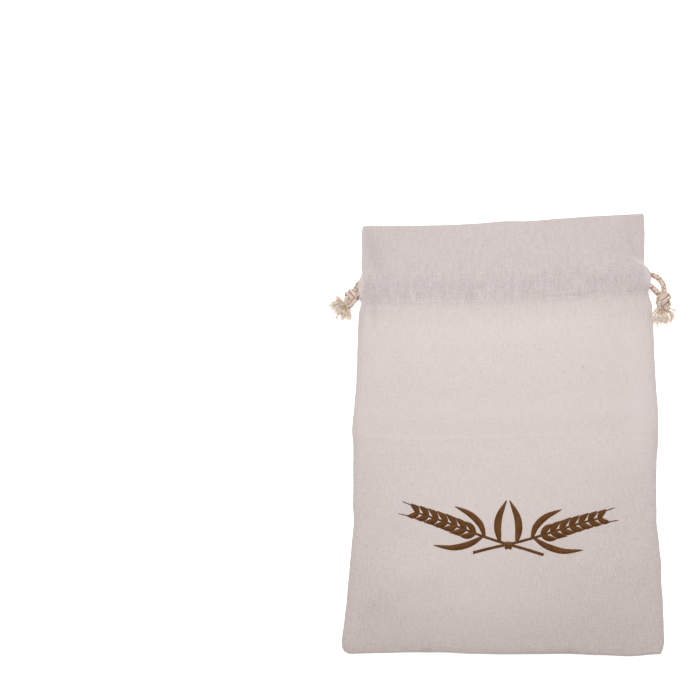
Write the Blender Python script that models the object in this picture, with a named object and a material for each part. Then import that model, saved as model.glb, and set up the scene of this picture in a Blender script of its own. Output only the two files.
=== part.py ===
"""A linen bread bag with two drawcords, lying empty on its back.

Two cloth panels are sewn together at the sides and along the bottom. The top of each panel is turned down
on its inside and stitched twice across. That makes a double heading, and below it a channel for the cords.
Each drawcord runs through both channels and back, and its two ends are knotted and frayed beside the bag.
X runs across the bag, Y from its bottom seam to its mouth, Z up. Sizes in the tables are millimetres.
"""
import bisect
import math
import random
from collections import namedtuple

import bmesh
import bpy
from mathutils import Matrix, Vector

MM = 0.001  # metres in a millimetre

# Cloth
PLY = 1.1            # one layer of cloth
HEM = 1.0            # the turned-down layer behind the heading and the channel
GAP = 0.3            # space between pieces that touch
BOND = 0.5           # how far the hem is sunk into the layer it is stitched to
HEM_INSET = 0.5      # the hem's edges stop this far inside the heading's edges
HEM_SHORT = 11.0     # the hem stops this far short of the channel's ends, where the cords turn
ACROSS = 26          # columns of faces across a panel

# Cords
CORD = 3.8           # diameter of a drawcord
TUNNEL = CORD + 2 * GAP      # clear height of a channel
LANE = 6.3           # a cord's distance from the middle line of its channel
FLANK = 4.5          # width of the channel's sloping side next to a stitch line
TWIST_PITCH = 11.0   # length of one full turn of the cord's three plies
PLY_DEPTH = 0.13     # depth of the grooves between the plies, as a share of the radius

# Each row is a line across the bag: v is the distance up the cloth, then the places of its two ends, and sag
# is how far its middle lies below the straight line between them. side and crown are the heights of the
# front panel's upper face at the edge and at the middle. fullness is the power that shapes it in between.
Row = namedtuple("Row", "name v left_x left_y right_x right_y sag side crown fullness")
ROWS = (
    Row("bottom seam",    0.0, -135.6,  -2.1, 130.1,   1.7, 0.0,  2.5,  2.5, 4.0),
    Row("corner turn",    4.0, -140.7,   0.9, 131.8,   4.4, 0.0,  2.5,  3.6, 4.0),
    Row("corner",        10.0, -142.1,   6.6, 133.9,  13.1, 0.2,  2.5,  5.2, 4.0),
    Row("above corner",  28.0, -140.0,  25.9, 134.0,  29.7, 0.6,  2.5,  9.0, 4.0),
    Row("lower side",    45.0, -138.2,  42.9, 134.3,  46.3, 1.0,  2.5, 11.4, 4.0),
    Row("belly",         79.0, -135.3,  77.2, 134.2,  80.1, 1.8,  2.5, 13.4, 5.0),
    Row("waist",        113.0, -132.9, 112.0, 132.9, 114.4, 2.6,  2.5, 13.7, 5.0),
    Row("above waist",  148.0, -133.6, 147.4, 134.2, 149.3, 3.6,  2.5, 13.3, 5.0),
    Row("under crease", 175.0, -133.6, 174.4, 136.4, 175.8, 4.4,  2.5, 12.4, 5.0),
    Row("crease",       194.0, -134.9, 192.5, 138.4, 195.5, 5.0,  2.5, 10.4, 5.0),
    Row("over crease",  211.0, -133.6, 210.8, 138.8, 213.0, 5.0,  2.5, 11.9, 5.0),
    Row("upper body",   246.0, -131.2, 246.0, 138.3, 247.6, 5.0,  2.5, 13.2, 5.0),
    Row("shoulder",     280.0, -130.7, 278.0, 138.8, 282.6, 4.9,  2.5, 14.3, 5.0),
    Row("side slit",    303.0, -129.8, 300.0, 137.8, 306.4, 4.8,  6.2, 14.8, 5.0),
    Row("lower stitch", 315.0, -127.3, 310.8, 133.6, 319.6, 4.8, 10.4, 15.2, 4.0),
    Row("channel low",  319.5, -129.0, 315.3, 135.0, 324.0, 4.7, 13.4, 18.0, 4.0),
    Row("channel",      328.0, -130.6, 323.6, 136.6, 332.4, 4.5, 13.4, 18.0, 4.0),
    Row("channel high", 336.5, -128.8, 332.0, 134.6, 340.8, 4.3, 13.4, 18.0, 4.0),
    Row("upper stitch", 341.0, -127.2, 336.4, 131.6, 345.2, 4.2, 10.4, 15.2, 4.0),
    Row("heading low",  354.0, -127.6, 349.6, 133.0, 357.7, 4.2,  7.6, 14.6, 3.0),
    Row("heading",      372.0, -127.7, 367.2, 134.7, 376.4, 4.2,  5.6, 13.9, 2.5),
    Row("heading top",  388.0, -127.4, 382.6, 135.2, 392.8, 4.3,  4.7, 13.5, 2.5),
    Row("mouth edge",   391.0, -126.2, 385.6, 134.5, 395.9, 4.3,  4.6, 13.4, 2.5),
)
HEIGHT_UP = [row.v for row in ROWS]
LOWER_STITCH, UPPER_STITCH = 315.0, 341.0
CHANNEL_LINE = (LOWER_STITCH + UPPER_STITCH) / 2
TOP = ROWS[-1].v
MIDDLE_X = (min(row.left_x for row in ROWS) + max(row.right_x for row in ROWS)) / 2
MIDDLE_Y = (ROWS[0].left_y + ROWS[-1].right_y) / 2

# How much the mouth and the bottom seam lie above a smooth curve, at equal steps from the left end to the right
MOUTH_WAVE = (0.0, -0.8, -1.35, -1.6, -1.2, -0.2, -1.2, -0.4, 0.15, 0.0, 0.0)
SEAM_WAVE = (0.0, 0.7, 1.3, 1.3, 0.15, -0.3, -0.1, 0.2, -0.8, -1.7, 0.0)
SEAM_REACH = 28.0    # the bottom seam's waves fade out this far up the cloth

# Lines of faces up a panel, as distances up the cloth
BODY_LINES = (0.0, 2.0, 5.0, 10.0, 18.0, 28.0, 40.0, 56.0, 76.0, 98.0, 122.0, 146.0, 166.0, 180.0, 188.0, 194.0,
              200.0, 208.0, 222.0, 244.0, 266.0, 284.0, 296.0, 306.0)
BACK_LINES = (0.0, 2.0, 5.0, 10.0, 28.0, 56.0, 98.0, 146.0, 180.0, 194.0, 211.0, 246.0, 280.0, 303.0)
TOP_LINES = (315.0, 317.5, 319.5, 324.0, 328.0, 332.0, 336.5, 338.5, 341.0, 347.0, 357.0, 369.0, 381.0, 388.0)
HEM_LINES = (314.2, 315.4, 317.5, 319.5, 324.0, 328.0, 332.0, 336.5, 338.5, 340.6, 347.0, 357.0, 369.0, 381.0)

# Soft slanting folds of the front panel: their two ends, width and height
Fold = namedtuple("Fold", "name x0 y0 x1 y1 width height")
FOLDS = (
    Fold("lower left",   -54.0,  80.0, -112.0,  34.0, 13.0,  1.5),
    Fold("left hollow",  -78.0, 118.0, -122.0,  66.0, 15.0, -1.1),
    Fold("lower right",  112.0, 134.0,  124.0,  40.0,  9.0,  1.2),
    Fold("right hollow",  92.0, 120.0,  106.0,  30.0, 12.0, -0.9),
    Fold("left shoulder", -92.0, 298.0, -108.0, 236.0, 9.0, -1.0),
    Fold("right shoulder", 104.0, 300.0, 112.0, 246.0, 10.0, -0.9),
)

# Knots: the middle, the direction from the cord to the frayed end, the length along it and the width. The
# wound band starts at an angle, leans sideways by another and is slid along the knot.
Knot = namedtuple("Knot", "side x y axis_x axis_y length width start turns lean slide")
KNOTS = (
    Knot("left",  -135.7, 315.2, -0.54, -0.84, 17.2, 13.6,  20.0, 1.15, -17.0, -0.8),
    Knot("right",  147.8, 310.9, -0.10, -0.99, 13.2, 13.8, 140.0, 1.00,  20.0, -0.2),
)
BAND = 2.3           # radius of the turns of a knot
BAND_PITCH = 5.1     # spacing of those turns

# Frayed ends: where the head sits, the way the strands point, their length, the angle to which the outermost
# fan out and how far each layer bends sideways
Tassel = namedtuple("Tassel", "side x y way_x way_y length fan bend seed")
TASSELS = (
    Tassel("left",  -143.8, 309.2, -0.84, -0.54, 12.0, 58.0, 0.7, 5),
    Tassel("right",  146.4, 302.2, -0.08, -1.00, 12.0, 16.0, 0.8, 9),
)
HEAD_RADIUS, HEAD_LENGTH, HEAD_REST = 4.3, 3.2, 1.2   # the head's radius, length and height off the floor
STRAND = 0.42        # radius of a strand
STRAND_COLUMNS, STRAND_LAYERS = 9, 4
STRAND_SPACING, LAYER_SPACING, FLOOR_LAYER = 0.95, 1.7, 1.25
LAYER_PHASE = 1.9    # how differently two layers of strands bend

# The free ends of the cords, from the channel's end to the knot: places chosen by hand
LEFT_FRONT_END = ((-120.0, 330.4, 11.0), (-125.0, 330.0, 10.4), (-128.8, 328.6, 9.9), (-131.0, 326.6, 9.6),
                  (-132.4, 323.7, 9.2))
LEFT_BACK_END = ((-119.0, 317.6, 3.3), (-122.6, 318.2, 3.3), (-125.8, 318.9, 3.4), (-128.9, 321.0, 3.9))
RIGHT_FRONT_END = ((125.6, 326.4, 11.4), (130.4, 326.8, 10.8), (135.2, 325.6, 9.8), (139.2, 322.2, 9.6),
                   (143.5, 317.1, 9.2))
RIGHT_BACK_END = ((125.0, 337.8, 3.3), (131.0, 338.4, 3.3), (136.8, 338.0, 3.4), (142.2, 336.1, 3.8),
                  (146.4, 332.6, 4.4), (148.9, 327.8, 5.0), (149.6, 322.8, 5.5), (149.3, 317.9, 5.8))
TURN_U = 0.92        # how far out a cord starts its turn from the front channel into the back one
MOUTH_U = 0.84       # how far out a cord's run in its channel ends on the side of its knot
RUN_POINTS = 9       # points along a channel that a cord's line goes through
FINE_STEP, RUN_STEP, TURN_STEP = 2.4, 19.0, 3.8   # a cord's steps: at its ends, in a channel, in its turn
TURN_REACH = 22.0    # the part of a cord on each side of its turn's middle that takes the turn's step
TWISTED = {"left": (12.0, 12.0), "right": (26.0, 34.0)}   # length at each end of a cord where its plies show


def column_at(values, v):
    """Read a table column at v, on a curve through its rows that never overshoots them."""
    i = min(max(bisect.bisect_right(HEIGHT_UP, v) - 1, 0), len(ROWS) - 2)

    def slope(k):
        return (values[k + 1] - values[k]) / (HEIGHT_UP[k + 1] - HEIGHT_UP[k])

    def tangent(k):
        if k in (0, len(ROWS) - 1):
            return slope(min(k, len(ROWS) - 2))
        before, after = slope(k - 1), slope(k)
        return 2 * before * after / (before + after) if before * after > 0 else 0.0

    step = HEIGHT_UP[i + 1] - HEIGHT_UP[i]
    t = min(max((v - HEIGHT_UP[i]) / step, 0.0), 1.0)
    rise = values[i + 1] - values[i]
    return (values[i] + step * t * (1 - t) ** 2 * tangent(i) - step * t * t * (1 - t) * tangent(i + 1)
            + rise * t * t * (3 - 2 * t))


COLUMNS = {field: [getattr(row, field) for row in ROWS] for field in Row._fields[2:]}


def row_at(v):
    return {field: column_at(values, v) for field, values in COLUMNS.items()}


def fold_height(x, y):
    total = 0.0
    for fold in FOLDS:
        along = Vector((fold.x1 - fold.x0, fold.y1 - fold.y0))
        place = Vector((x - fold.x0, y - fold.y0))
        t = place.dot(along) / along.length_squared
        off = abs(place.cross(along)) / along.length
        ends = max(0.0, 1 - (2 * t - 1) ** 2) if 0 < t < 1 else 0.0
        total += fold.height * ends * math.exp(-(off / fold.width) ** 2)
    return total


def along_edge(wave, u):
    """Read a wave of the outline at u, with a smooth blend between its steps."""
    place = (u + 1) / 2 * (len(wave) - 1)
    i = min(max(int(place), 0), len(wave) - 2)
    t = min(max(place - i, 0.0), 1.0)
    return wave[i] + (wave[i + 1] - wave[i]) * t * t * (3 - 2 * t)


def plan(u, v, inset=0.0):
    """Where the cloth's point u (-1 at the left edge, 1 at the right) and v lies on the floor."""
    row = row_at(v)
    left, right = row["left_x"] + inset, row["right_x"] - inset
    share = (u + 1) / 2
    x = left + (right - left) * share
    true_u = 2 * (x - row["left_x"]) / (row["right_x"] - row["left_x"]) - 1
    y = row["left_y"] + (row["right_y"] - row["left_y"]) * share - row["sag"] * (1 - true_u ** 2)
    y += along_edge(MOUTH_WAVE, true_u) * max(0.0, (v - UPPER_STITCH) / (TOP - UPPER_STITCH))
    y += along_edge(SEAM_WAVE, true_u) * max(0.0, 1 - v / SEAM_REACH)
    return x, y, true_u, row


def front_height(u, v, x, y, row):
    """Height of the front panel's upper face."""
    crown = row["side"] + (row["crown"] - row["side"]) * (1 - abs(u) ** row["fullness"])
    body = min(max((u + 1) * 8, 0.0), 1.0) * min(max((1 - u) * 8, 0.0), 1.0) * min(max(v / 30, 0.0), 1.0)
    return crown + fold_height(x, y) * body


def tunnel(v):
    """1 where the channel is open to its full height, 0 at its stitch lines."""
    inside = min(v - LOWER_STITCH, UPPER_STITCH - v) / FLANK
    t = min(max(inside, 0.0), 1.0)
    return t * t * (3 - 2 * t)


def placed(x, y, z):
    return Vector(((x - MIDDLE_X) * MM, (y - MIDDLE_Y) * MM, z * MM))


def across_bag(share):
    """Columns of faces lie closer together near the edges."""
    return 0.55 * share + 0.45 * math.sin(share * math.pi / 2)


def front_outer(u, v):
    x, y, true_u, row = plan(u, v)
    top = front_height(true_u, v, x, y, row)
    return placed(x, y, top), placed(x, y, top - PLY)


def hem_inset(v):
    """The hem stops short in the channel and reaches the heading's edges above it."""
    blend = min(max((v - UPPER_STITCH) / 6, 0.0), 1.0)
    return HEM_SHORT + (HEM_INSET - HEM_SHORT) * blend


def front_hem(u, v):
    x, y, true_u, row = plan(u, v, hem_inset(v))
    top = front_height(true_u, v, x, y, row) - PLY + BOND - (TUNNEL + BOND) * tunnel(v)
    return placed(x, y, top), placed(x, y, top - HEM)


def back_outer(u, v):
    x, y, _, _ = plan(u, v)
    return placed(x, y, PLY), placed(x, y, 0.0)


def back_hem(u, v):
    x, y, _, _ = plan(u, v, hem_inset(v))
    bottom = PLY - BOND + (TUNNEL + BOND) * tunnel(v)
    return placed(x, y, bottom + HEM), placed(x, y, bottom)


def material(name, colour, roughness):
    made = bpy.data.materials.new(name)
    made.use_nodes = True
    shader = made.node_tree.nodes["Principled BSDF"]
    shader.inputs["Base Color"].default_value = (*colour, 1.0)
    shader.inputs["Roughness"].default_value = roughness
    shader.inputs["Metallic"].default_value = 0.0
    return made


def finished(name, bm, finish, collection, smooth=40.0):
    """Turn a bmesh into a named object with its material."""
    bmesh.ops.recalc_face_normals(bm, faces=bm.faces[:])
    mesh = bpy.data.meshes.new(name)
    bm.to_mesh(mesh)
    bm.free()
    mesh.shade_smooth()
    mesh.set_sharp_from_angle(angle=math.radians(smooth))
    piece = bpy.data.objects.new(name, mesh)
    collection.objects.link(piece)
    if finish:
        mesh.materials.append(finish)
    return piece


def cloth(name, lines, faces_of, finish, collection):
    """A closed layer of cloth: a grid extruded once, its two sides placed by faces_of(u, v)."""
    bm = bmesh.new()
    bmesh.ops.create_grid(bm, x_segments=ACROSS, y_segments=len(lines) - 1, size=1.0)
    count = len(bm.verts)
    bmesh.ops.extrude_face_region(bm, geom=bm.faces[:], use_keep_orig=True)
    bm.verts.ensure_lookup_table()
    for i, vert in enumerate(bm.verts):
        line = round((vert.co.y + 1) / 2 * (len(lines) - 1))
        upper, lower = faces_of(across_bag(vert.co.x), lines[line])
        vert.co = lower if i < count else upper
    return finished(name, bm, finish, collection)


def union(piece, other):
    """Join other into piece."""
    join = piece.modifiers.new("joined", "BOOLEAN")
    join.operation = "UNION"
    join.object = other


def as_guide(piece):
    piece.hide_render = True
    piece.display_type = "WIRE"
    return piece


def panel(name, outer, hem, lines, finish, parts, guides):
    """One side of the bag: its cloth, with the top turned down inside and stitched."""
    piece = cloth(name, lines + TOP_LINES + (TOP,), outer, finish, parts)
    turned = cloth(name + "_turned_top", HEM_LINES + (TOP - HEM_INSET,), hem, None, guides)
    union(piece, as_guide(turned))
    return piece


def smooth_route(route, per_span=12):
    """A smooth curve through the route's points, with its length up to each of them."""
    points = [Vector(p) for p in route]
    ends = [2 * points[0] - points[1]] + points + [2 * points[-1] - points[-2]]
    dense = []
    for a, b, c, d in zip(ends, ends[1:], ends[2:], ends[3:]):
        for k in range(per_span):
            t = k / per_span
            dense.append(0.5 * (2 * b + (c - a) * t + (2 * a - 5 * b + 4 * c - d) * t ** 2
                                + (3 * b - a - 3 * c + d) * t ** 3))
    dense.append(points[-1])
    reach = [0.0]
    for a, b in zip(dense, dense[1:]):
        reach.append(reach[-1] + (b - a).length)
    return dense, reach


def point_along(dense, reach, distance):
    i = min(max(bisect.bisect_right(reach, distance) - 1, 0), len(dense) - 2)
    t = (distance - reach[i]) / (reach[i + 1] - reach[i])
    return dense[i].lerp(dense[i + 1], min(max(t, 0.0), 1.0))


def channel_run(u_from, u_to, lane, in_front, count):
    """Points of a cord inside a channel."""
    points = []
    for k in range(count):
        u = u_from + (u_to - u_from) * k / (count - 1)
        x, y, true_u, row = plan(u, CHANNEL_LINE + lane)
        front = front_height(true_u, CHANNEL_LINE, x, y, row) - PLY - TUNNEL / 2
        points.append((x, y, front if in_front else PLY + TUNNEL / 2))
    return points


def turn_at(side, lane):
    """The half turn of a cord from the front channel into the back one, inside the channel's end."""
    sign = -1 if side == "left" else 1
    x, y, true_u, row = plan(sign * TURN_U, CHANNEL_LINE)
    upper = Vector((0, lane, front_height(true_u, CHANNEL_LINE, x, y, row) - PLY - TUNNEL / 2))
    lower = Vector((0, -lane, PLY + TUNNEL / 2))
    radius = (upper - lower).length / 2
    centre = (upper + lower) / 2 + Vector((x, y, 0))
    arm = (upper - lower) / 2
    points = []
    for k in range(1, 6):
        angle = math.pi * k / 6
        points.append(tuple(centre + arm * math.cos(angle) + Vector((sign * radius * math.sin(angle), 0, 0))))
    return points


def drawcord_route(side):
    """From the knot through the front channel, round at the far end, and back to the knot."""
    sign = -1 if side == "left" else 1
    front_end, back_end = {"left": (LEFT_FRONT_END, LEFT_BACK_END), "right": (RIGHT_FRONT_END, RIGHT_BACK_END)}[side]
    lane = -sign * LANE
    far = "right" if side == "left" else "left"
    out = channel_run(sign * MOUTH_U, -sign * TURN_U, lane, True, RUN_POINTS)
    back = channel_run(-sign * TURN_U, sign * MOUTH_U, -lane, False, RUN_POINTS)
    return list(reversed(front_end)) + out + turn_at(far, lane) + back + list(back_end)


def drawcord(side, finish, collection):
    """A three-ply cord. Its plies turn along its free ends, which show."""
    route = drawcord_route(side)
    dense, reach = smooth_route(route)
    free = TWISTED[side]
    turn = reach[-1] / 2
    marks, twist, here, angle = [], [], 0.0, 0.0
    while here < reach[-1] - RUN_STEP / 6:
        marks.append(here)
        twist.append(angle)
        fine = here < free[0] or here > reach[-1] - free[1]
        near_turn = abs(here - turn) < TURN_REACH
        step = FINE_STEP if fine else TURN_STEP if near_turn else RUN_STEP
        if not fine:
            step = min(step, max(TURN_STEP, abs(abs(here - turn) - TURN_REACH)) if here < turn else RUN_STEP)
            step = min(step, max(FINE_STEP, reach[-1] - free[1] - here))
        angle += 2 * math.pi * step / TWIST_PITCH if fine else 0.0
        here += step
    marks.append(reach[-1])
    twist.append(angle)

    profile_curve = bpy.data.curves.new("cord_section", "CURVE")
    profile_curve.dimensions = "2D"
    section = profile_curve.splines.new("POLY")
    sides = 9
    section.points.add(sides - 1)
    section.use_cyclic_u = True
    for k in range(sides):
        turned = -2 * math.pi * k / sides
        radius = CORD / 2 * MM * (1 - PLY_DEPTH * (0.5 - 0.5 * math.cos(3 * turned)))
        section.points[k].co = (radius * math.cos(turned), radius * math.sin(turned), 0, 1)
    profile = bpy.data.objects.new("cord_section_" + side, profile_curve)
    collection["guides"].objects.link(profile)
    as_guide(profile)

    curve = bpy.data.curves.new("drawcord_" + side, "CURVE")
    curve.dimensions = "3D"
    curve.bevel_mode = "OBJECT"
    curve.bevel_object = profile
    curve.use_fill_caps = True
    spline = curve.splines.new("POLY")
    spline.points.add(len(marks) - 1)
    for point, mark, turned in zip(spline.points, marks, twist):
        point.co = (*placed(*point_along(dense, reach, mark)), 1)
        point.tilt = turned
    curve.materials.append(finish)
    piece = bpy.data.objects.new("drawcord_" + side, curve)
    collection["parts"].objects.link(piece)
    print(piece.name, "length", round(reach[-1], 1), "mm,", len(marks), "points")
    return piece


def knot(spec, finish, collection):
    """An overhand knot drawn tight: a core with the doubled cord wound round it."""
    bm = bmesh.new()
    wind = spec.width / 2 - BAND
    rise = BAND_PITCH * spec.turns
    start = Matrix.Rotation(math.radians(spec.start), 4, "Z") @ Matrix.Translation((wind * MM, 0, -rise / 2 * MM))
    lean = Matrix.Translation((0, 0, spec.slide * MM)) @ Matrix.Rotation(math.radians(spec.lean), 4, "Y")
    bmesh.ops.create_circle(bm, segments=9, radius=BAND * MM, matrix=start @ Matrix.Rotation(math.pi / 2, 4, "X"))
    steps = round(spec.turns * 16)
    bmesh.ops.spin(bm, geom=bm.edges[:] + bm.verts[:], cent=(0, 0, 0), axis=(0, 0, 1),
                   dvec=(0, 0, rise / steps * MM), angle=math.tau * spec.turns, steps=steps)
    bmesh.ops.holes_fill(bm, edges=bm.edges[:], sides=0)
    bmesh.ops.transform(bm, matrix=lean, verts=bm.verts[:])
    turns = finished("knot_" + spec.side + "_turns", bm, None, collection["guides"])

    bm = bmesh.new()
    stretch = Matrix.Diagonal((wind * 0.98 * MM, wind * 0.98 * MM, spec.length / 2 * MM, 1))
    bmesh.ops.create_uvsphere(bm, u_segments=14, v_segments=9, radius=1.0, matrix=stretch)
    piece = finished("knot_" + spec.side, bm, finish, collection["parts"], 60.0)
    union(piece, as_guide(turns))

    axis = Vector((spec.axis_x, spec.axis_y, 0)).normalized()
    lie = axis.to_track_quat("Z", "Y").to_matrix().to_4x4()
    place = Matrix.Translation(placed(spec.x, spec.y, spec.width / 2 + 0.05)) @ lie
    piece.matrix_world = place
    turns.matrix_world = place
    return piece


def tassel(spec, finish, collection):
    """The frayed ends below a knot: strands that stand apart, rooted in a short bound head."""
    way = Vector((spec.way_x, spec.way_y, 0)).normalized()
    side = Vector((-way.y, way.x, 0))
    up = Vector((0, 0, 1))
    head_height = HEAD_RADIUS + HEAD_REST
    root = Vector((spec.x, spec.y, head_height))
    random.seed(spec.seed)

    curve = bpy.data.curves.new("tassel_strands", "CURVE")
    curve.dimensions = "3D"
    curve.bevel_depth = STRAND * MM
    curve.bevel_resolution = 0
    curve.use_fill_caps = True
    middle = (STRAND_COLUMNS - 1) / 2
    for layer in range(STRAND_LAYERS):
        for column in range(STRAND_COLUMNS):
            across = column - middle
            fan = across / middle
            low = (layer - (STRAND_LAYERS - 1) / 2) * LAYER_SPACING
            if math.hypot(across * STRAND_SPACING, low) > HEAD_RADIUS - STRAND / 2:
                continue
            rest = STRAND * 1.02 + layer * FLOOR_LAYER
            length = spec.length * (1 - 0.16 * fan ** 2) * random.uniform(0.86, 1.0)
            spline = curve.splines.new("POLY")
            spline.points.add(4)
            turned = math.radians(spec.fan) * fan
            for point, t in zip(spline.points, (0.0, 0.28, 0.55, 0.8, 1.0)):
                drop = min(1.0, t * 1.25) ** 0.8
                height = (head_height + low) * (1 - drop) + rest * drop
                bend = spec.bend * math.sin(t * 1.6 * math.pi + layer * LAYER_PHASE) * t
                reach = HEAD_LENGTH * 0.3 + t * length * math.cos(turned)
                spot = root + way * reach + side * (across * STRAND_SPACING + t * length * math.sin(turned) + bend)
                point.co = (*placed(spot.x, spot.y, height), 1)
    strands_curve = bpy.data.objects.new("tassel_strands", curve)
    collection["guides"].objects.link(strands_curve)
    depsgraph = bpy.context.evaluated_depsgraph_get()
    mesh = bpy.data.meshes.new_from_object(strands_curve.evaluated_get(depsgraph))
    bm = bmesh.new()
    bm.from_mesh(mesh)
    bmesh.ops.remove_doubles(bm, verts=bm.verts[:], dist=0.00001)
    strands = finished("tassel_" + spec.side + "_strands", bm, None, collection["guides"])
    strands.matrix_world = strands_curve.matrix_world
    bpy.data.objects.remove(strands_curve)

    bm = bmesh.new()
    bmesh.ops.create_cone(bm, cap_ends=True, segments=12, radius1=HEAD_RADIUS * 0.8 * MM, radius2=HEAD_RADIUS * MM,
                          depth=HEAD_LENGTH * MM)
    piece = finished("tassel_" + spec.side, bm, finish, collection["parts"])
    piece.matrix_world = Matrix.Translation(placed(*root)) @ way.to_track_quat("Z", "Y").to_matrix().to_4x4()
    union(piece, as_guide(strands))
    return piece


def build():
    for old in list(bpy.data.objects):
        bpy.data.objects.remove(old)
    collection = {}
    for key, name in (("parts", "linen_bread_bag"), ("guides", "guides")):
        collection[key] = bpy.data.collections.new(name)
        bpy.context.scene.collection.children.link(collection[key])

    linen = material("natural linen", (0.68, 0.62, 0.59), 0.92)
    cotton = material("twisted cotton", (0.66, 0.56, 0.46), 0.9)
    frayed = material("frayed cotton", (0.74, 0.60, 0.43), 0.92)

    panel("front_panel", front_outer, front_hem, BODY_LINES, linen, collection["parts"], collection["guides"])
    panel("back_panel", back_outer, back_hem, BACK_LINES, linen, collection["parts"], collection["guides"])
    for side in ("left", "right"):
        drawcord(side, cotton, collection)
    for spec in KNOTS:
        knot(spec, cotton, collection)
    for spec in TASSELS:
        tassel(spec, frayed, collection)


build()
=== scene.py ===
# %% [markdown]
# # A linen bread bag, lying empty on its back
#
# The real bag is two pieces of unbleached cloth, sewn together at the sides and along the bottom. The top of each
# piece is turned down on its inside and stitched twice across. That makes a double heading and a channel for two
# twisted cords, which end in knots with frayed ends at the sides of the bag.
#
# The measured solids come first. They fix every size, and all that follows is laid into the room that they hold.

# %% Load the solids
import bisect
import math
import random
from collections import namedtuple
from functools import lru_cache

import bmesh
import bpy
from mathutils import Matrix, Vector, kdtree, noise


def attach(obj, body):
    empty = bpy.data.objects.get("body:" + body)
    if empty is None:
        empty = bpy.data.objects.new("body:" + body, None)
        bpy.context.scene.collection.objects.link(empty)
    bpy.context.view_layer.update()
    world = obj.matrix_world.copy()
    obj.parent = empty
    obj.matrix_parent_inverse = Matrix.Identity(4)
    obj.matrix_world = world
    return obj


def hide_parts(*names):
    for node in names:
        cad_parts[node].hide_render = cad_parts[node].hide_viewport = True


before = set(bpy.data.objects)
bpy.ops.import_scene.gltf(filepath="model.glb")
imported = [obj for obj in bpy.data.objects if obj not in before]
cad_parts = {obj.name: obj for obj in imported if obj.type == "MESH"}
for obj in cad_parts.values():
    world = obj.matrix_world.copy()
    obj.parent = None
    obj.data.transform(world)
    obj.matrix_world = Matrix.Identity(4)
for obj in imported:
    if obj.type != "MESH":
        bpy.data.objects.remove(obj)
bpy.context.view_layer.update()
scene = bpy.context.scene
MM = 0.001  # metres in a millimetre

# %% [markdown]
# ## The view
#
# The bag is looked at from above and a little from its bottom end, as it lies on a table. A lens is a view angle:
# one that makes a picture 700 dots wide with a focal length of 1000 dots is 51.4 mm on a 36 mm sensor.

# %% Camera
VIEW_TILT, VIEW_ROLL = 12.0, 3.0   # degrees that the camera leans back and sideways
VIEW_DISTANCE = 0.924              # metres from the lens to the table, along the view's middle
VIEW_AIM = Vector((-0.1363, 0.0702, 0.0))   # where the view's middle meets the table
FOCAL_DOTS, PICTURE_DOTS, SENSOR = 1000.0, 700.0, 36.0


def show(name, data):
    """An object with this data, put into the scene."""
    made = bpy.data.objects.new(name, data)
    scene.collection.objects.link(made)
    return made


camera = show("camera", bpy.data.cameras.new("camera"))
lean = Matrix.Rotation(math.radians(VIEW_TILT), 4, "X") @ Matrix.Rotation(math.radians(VIEW_ROLL), 4, "Y")
camera.matrix_world = Matrix.Translation(VIEW_AIM) @ lean @ Matrix.Translation((0, 0, VIEW_DISTANCE))
camera.data.sensor_width = SENSOR
camera.data.lens = SENSOR * FOCAL_DOTS / PICTURE_DOTS
scene.camera = camera
print("camera at", [round(c, 3) for c in camera.matrix_world.translation])

# %% [markdown]
# ## The shape of the bag, in numbers
#
# The tables hold the real sizes in millimetres: X runs across the bag and Y up from its bottom seam. Each row of
# the first table is a line across the bag, so the outline is as uneven as the real one. `sag` is how far the
# line's middle lies below the straight line between its ends. `side` and `crown` are heights of the front, and a
# larger `fullness` keeps it as high as its crown further out. A fold is a soft ridge from x0, y0 to x1, y1.

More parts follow.
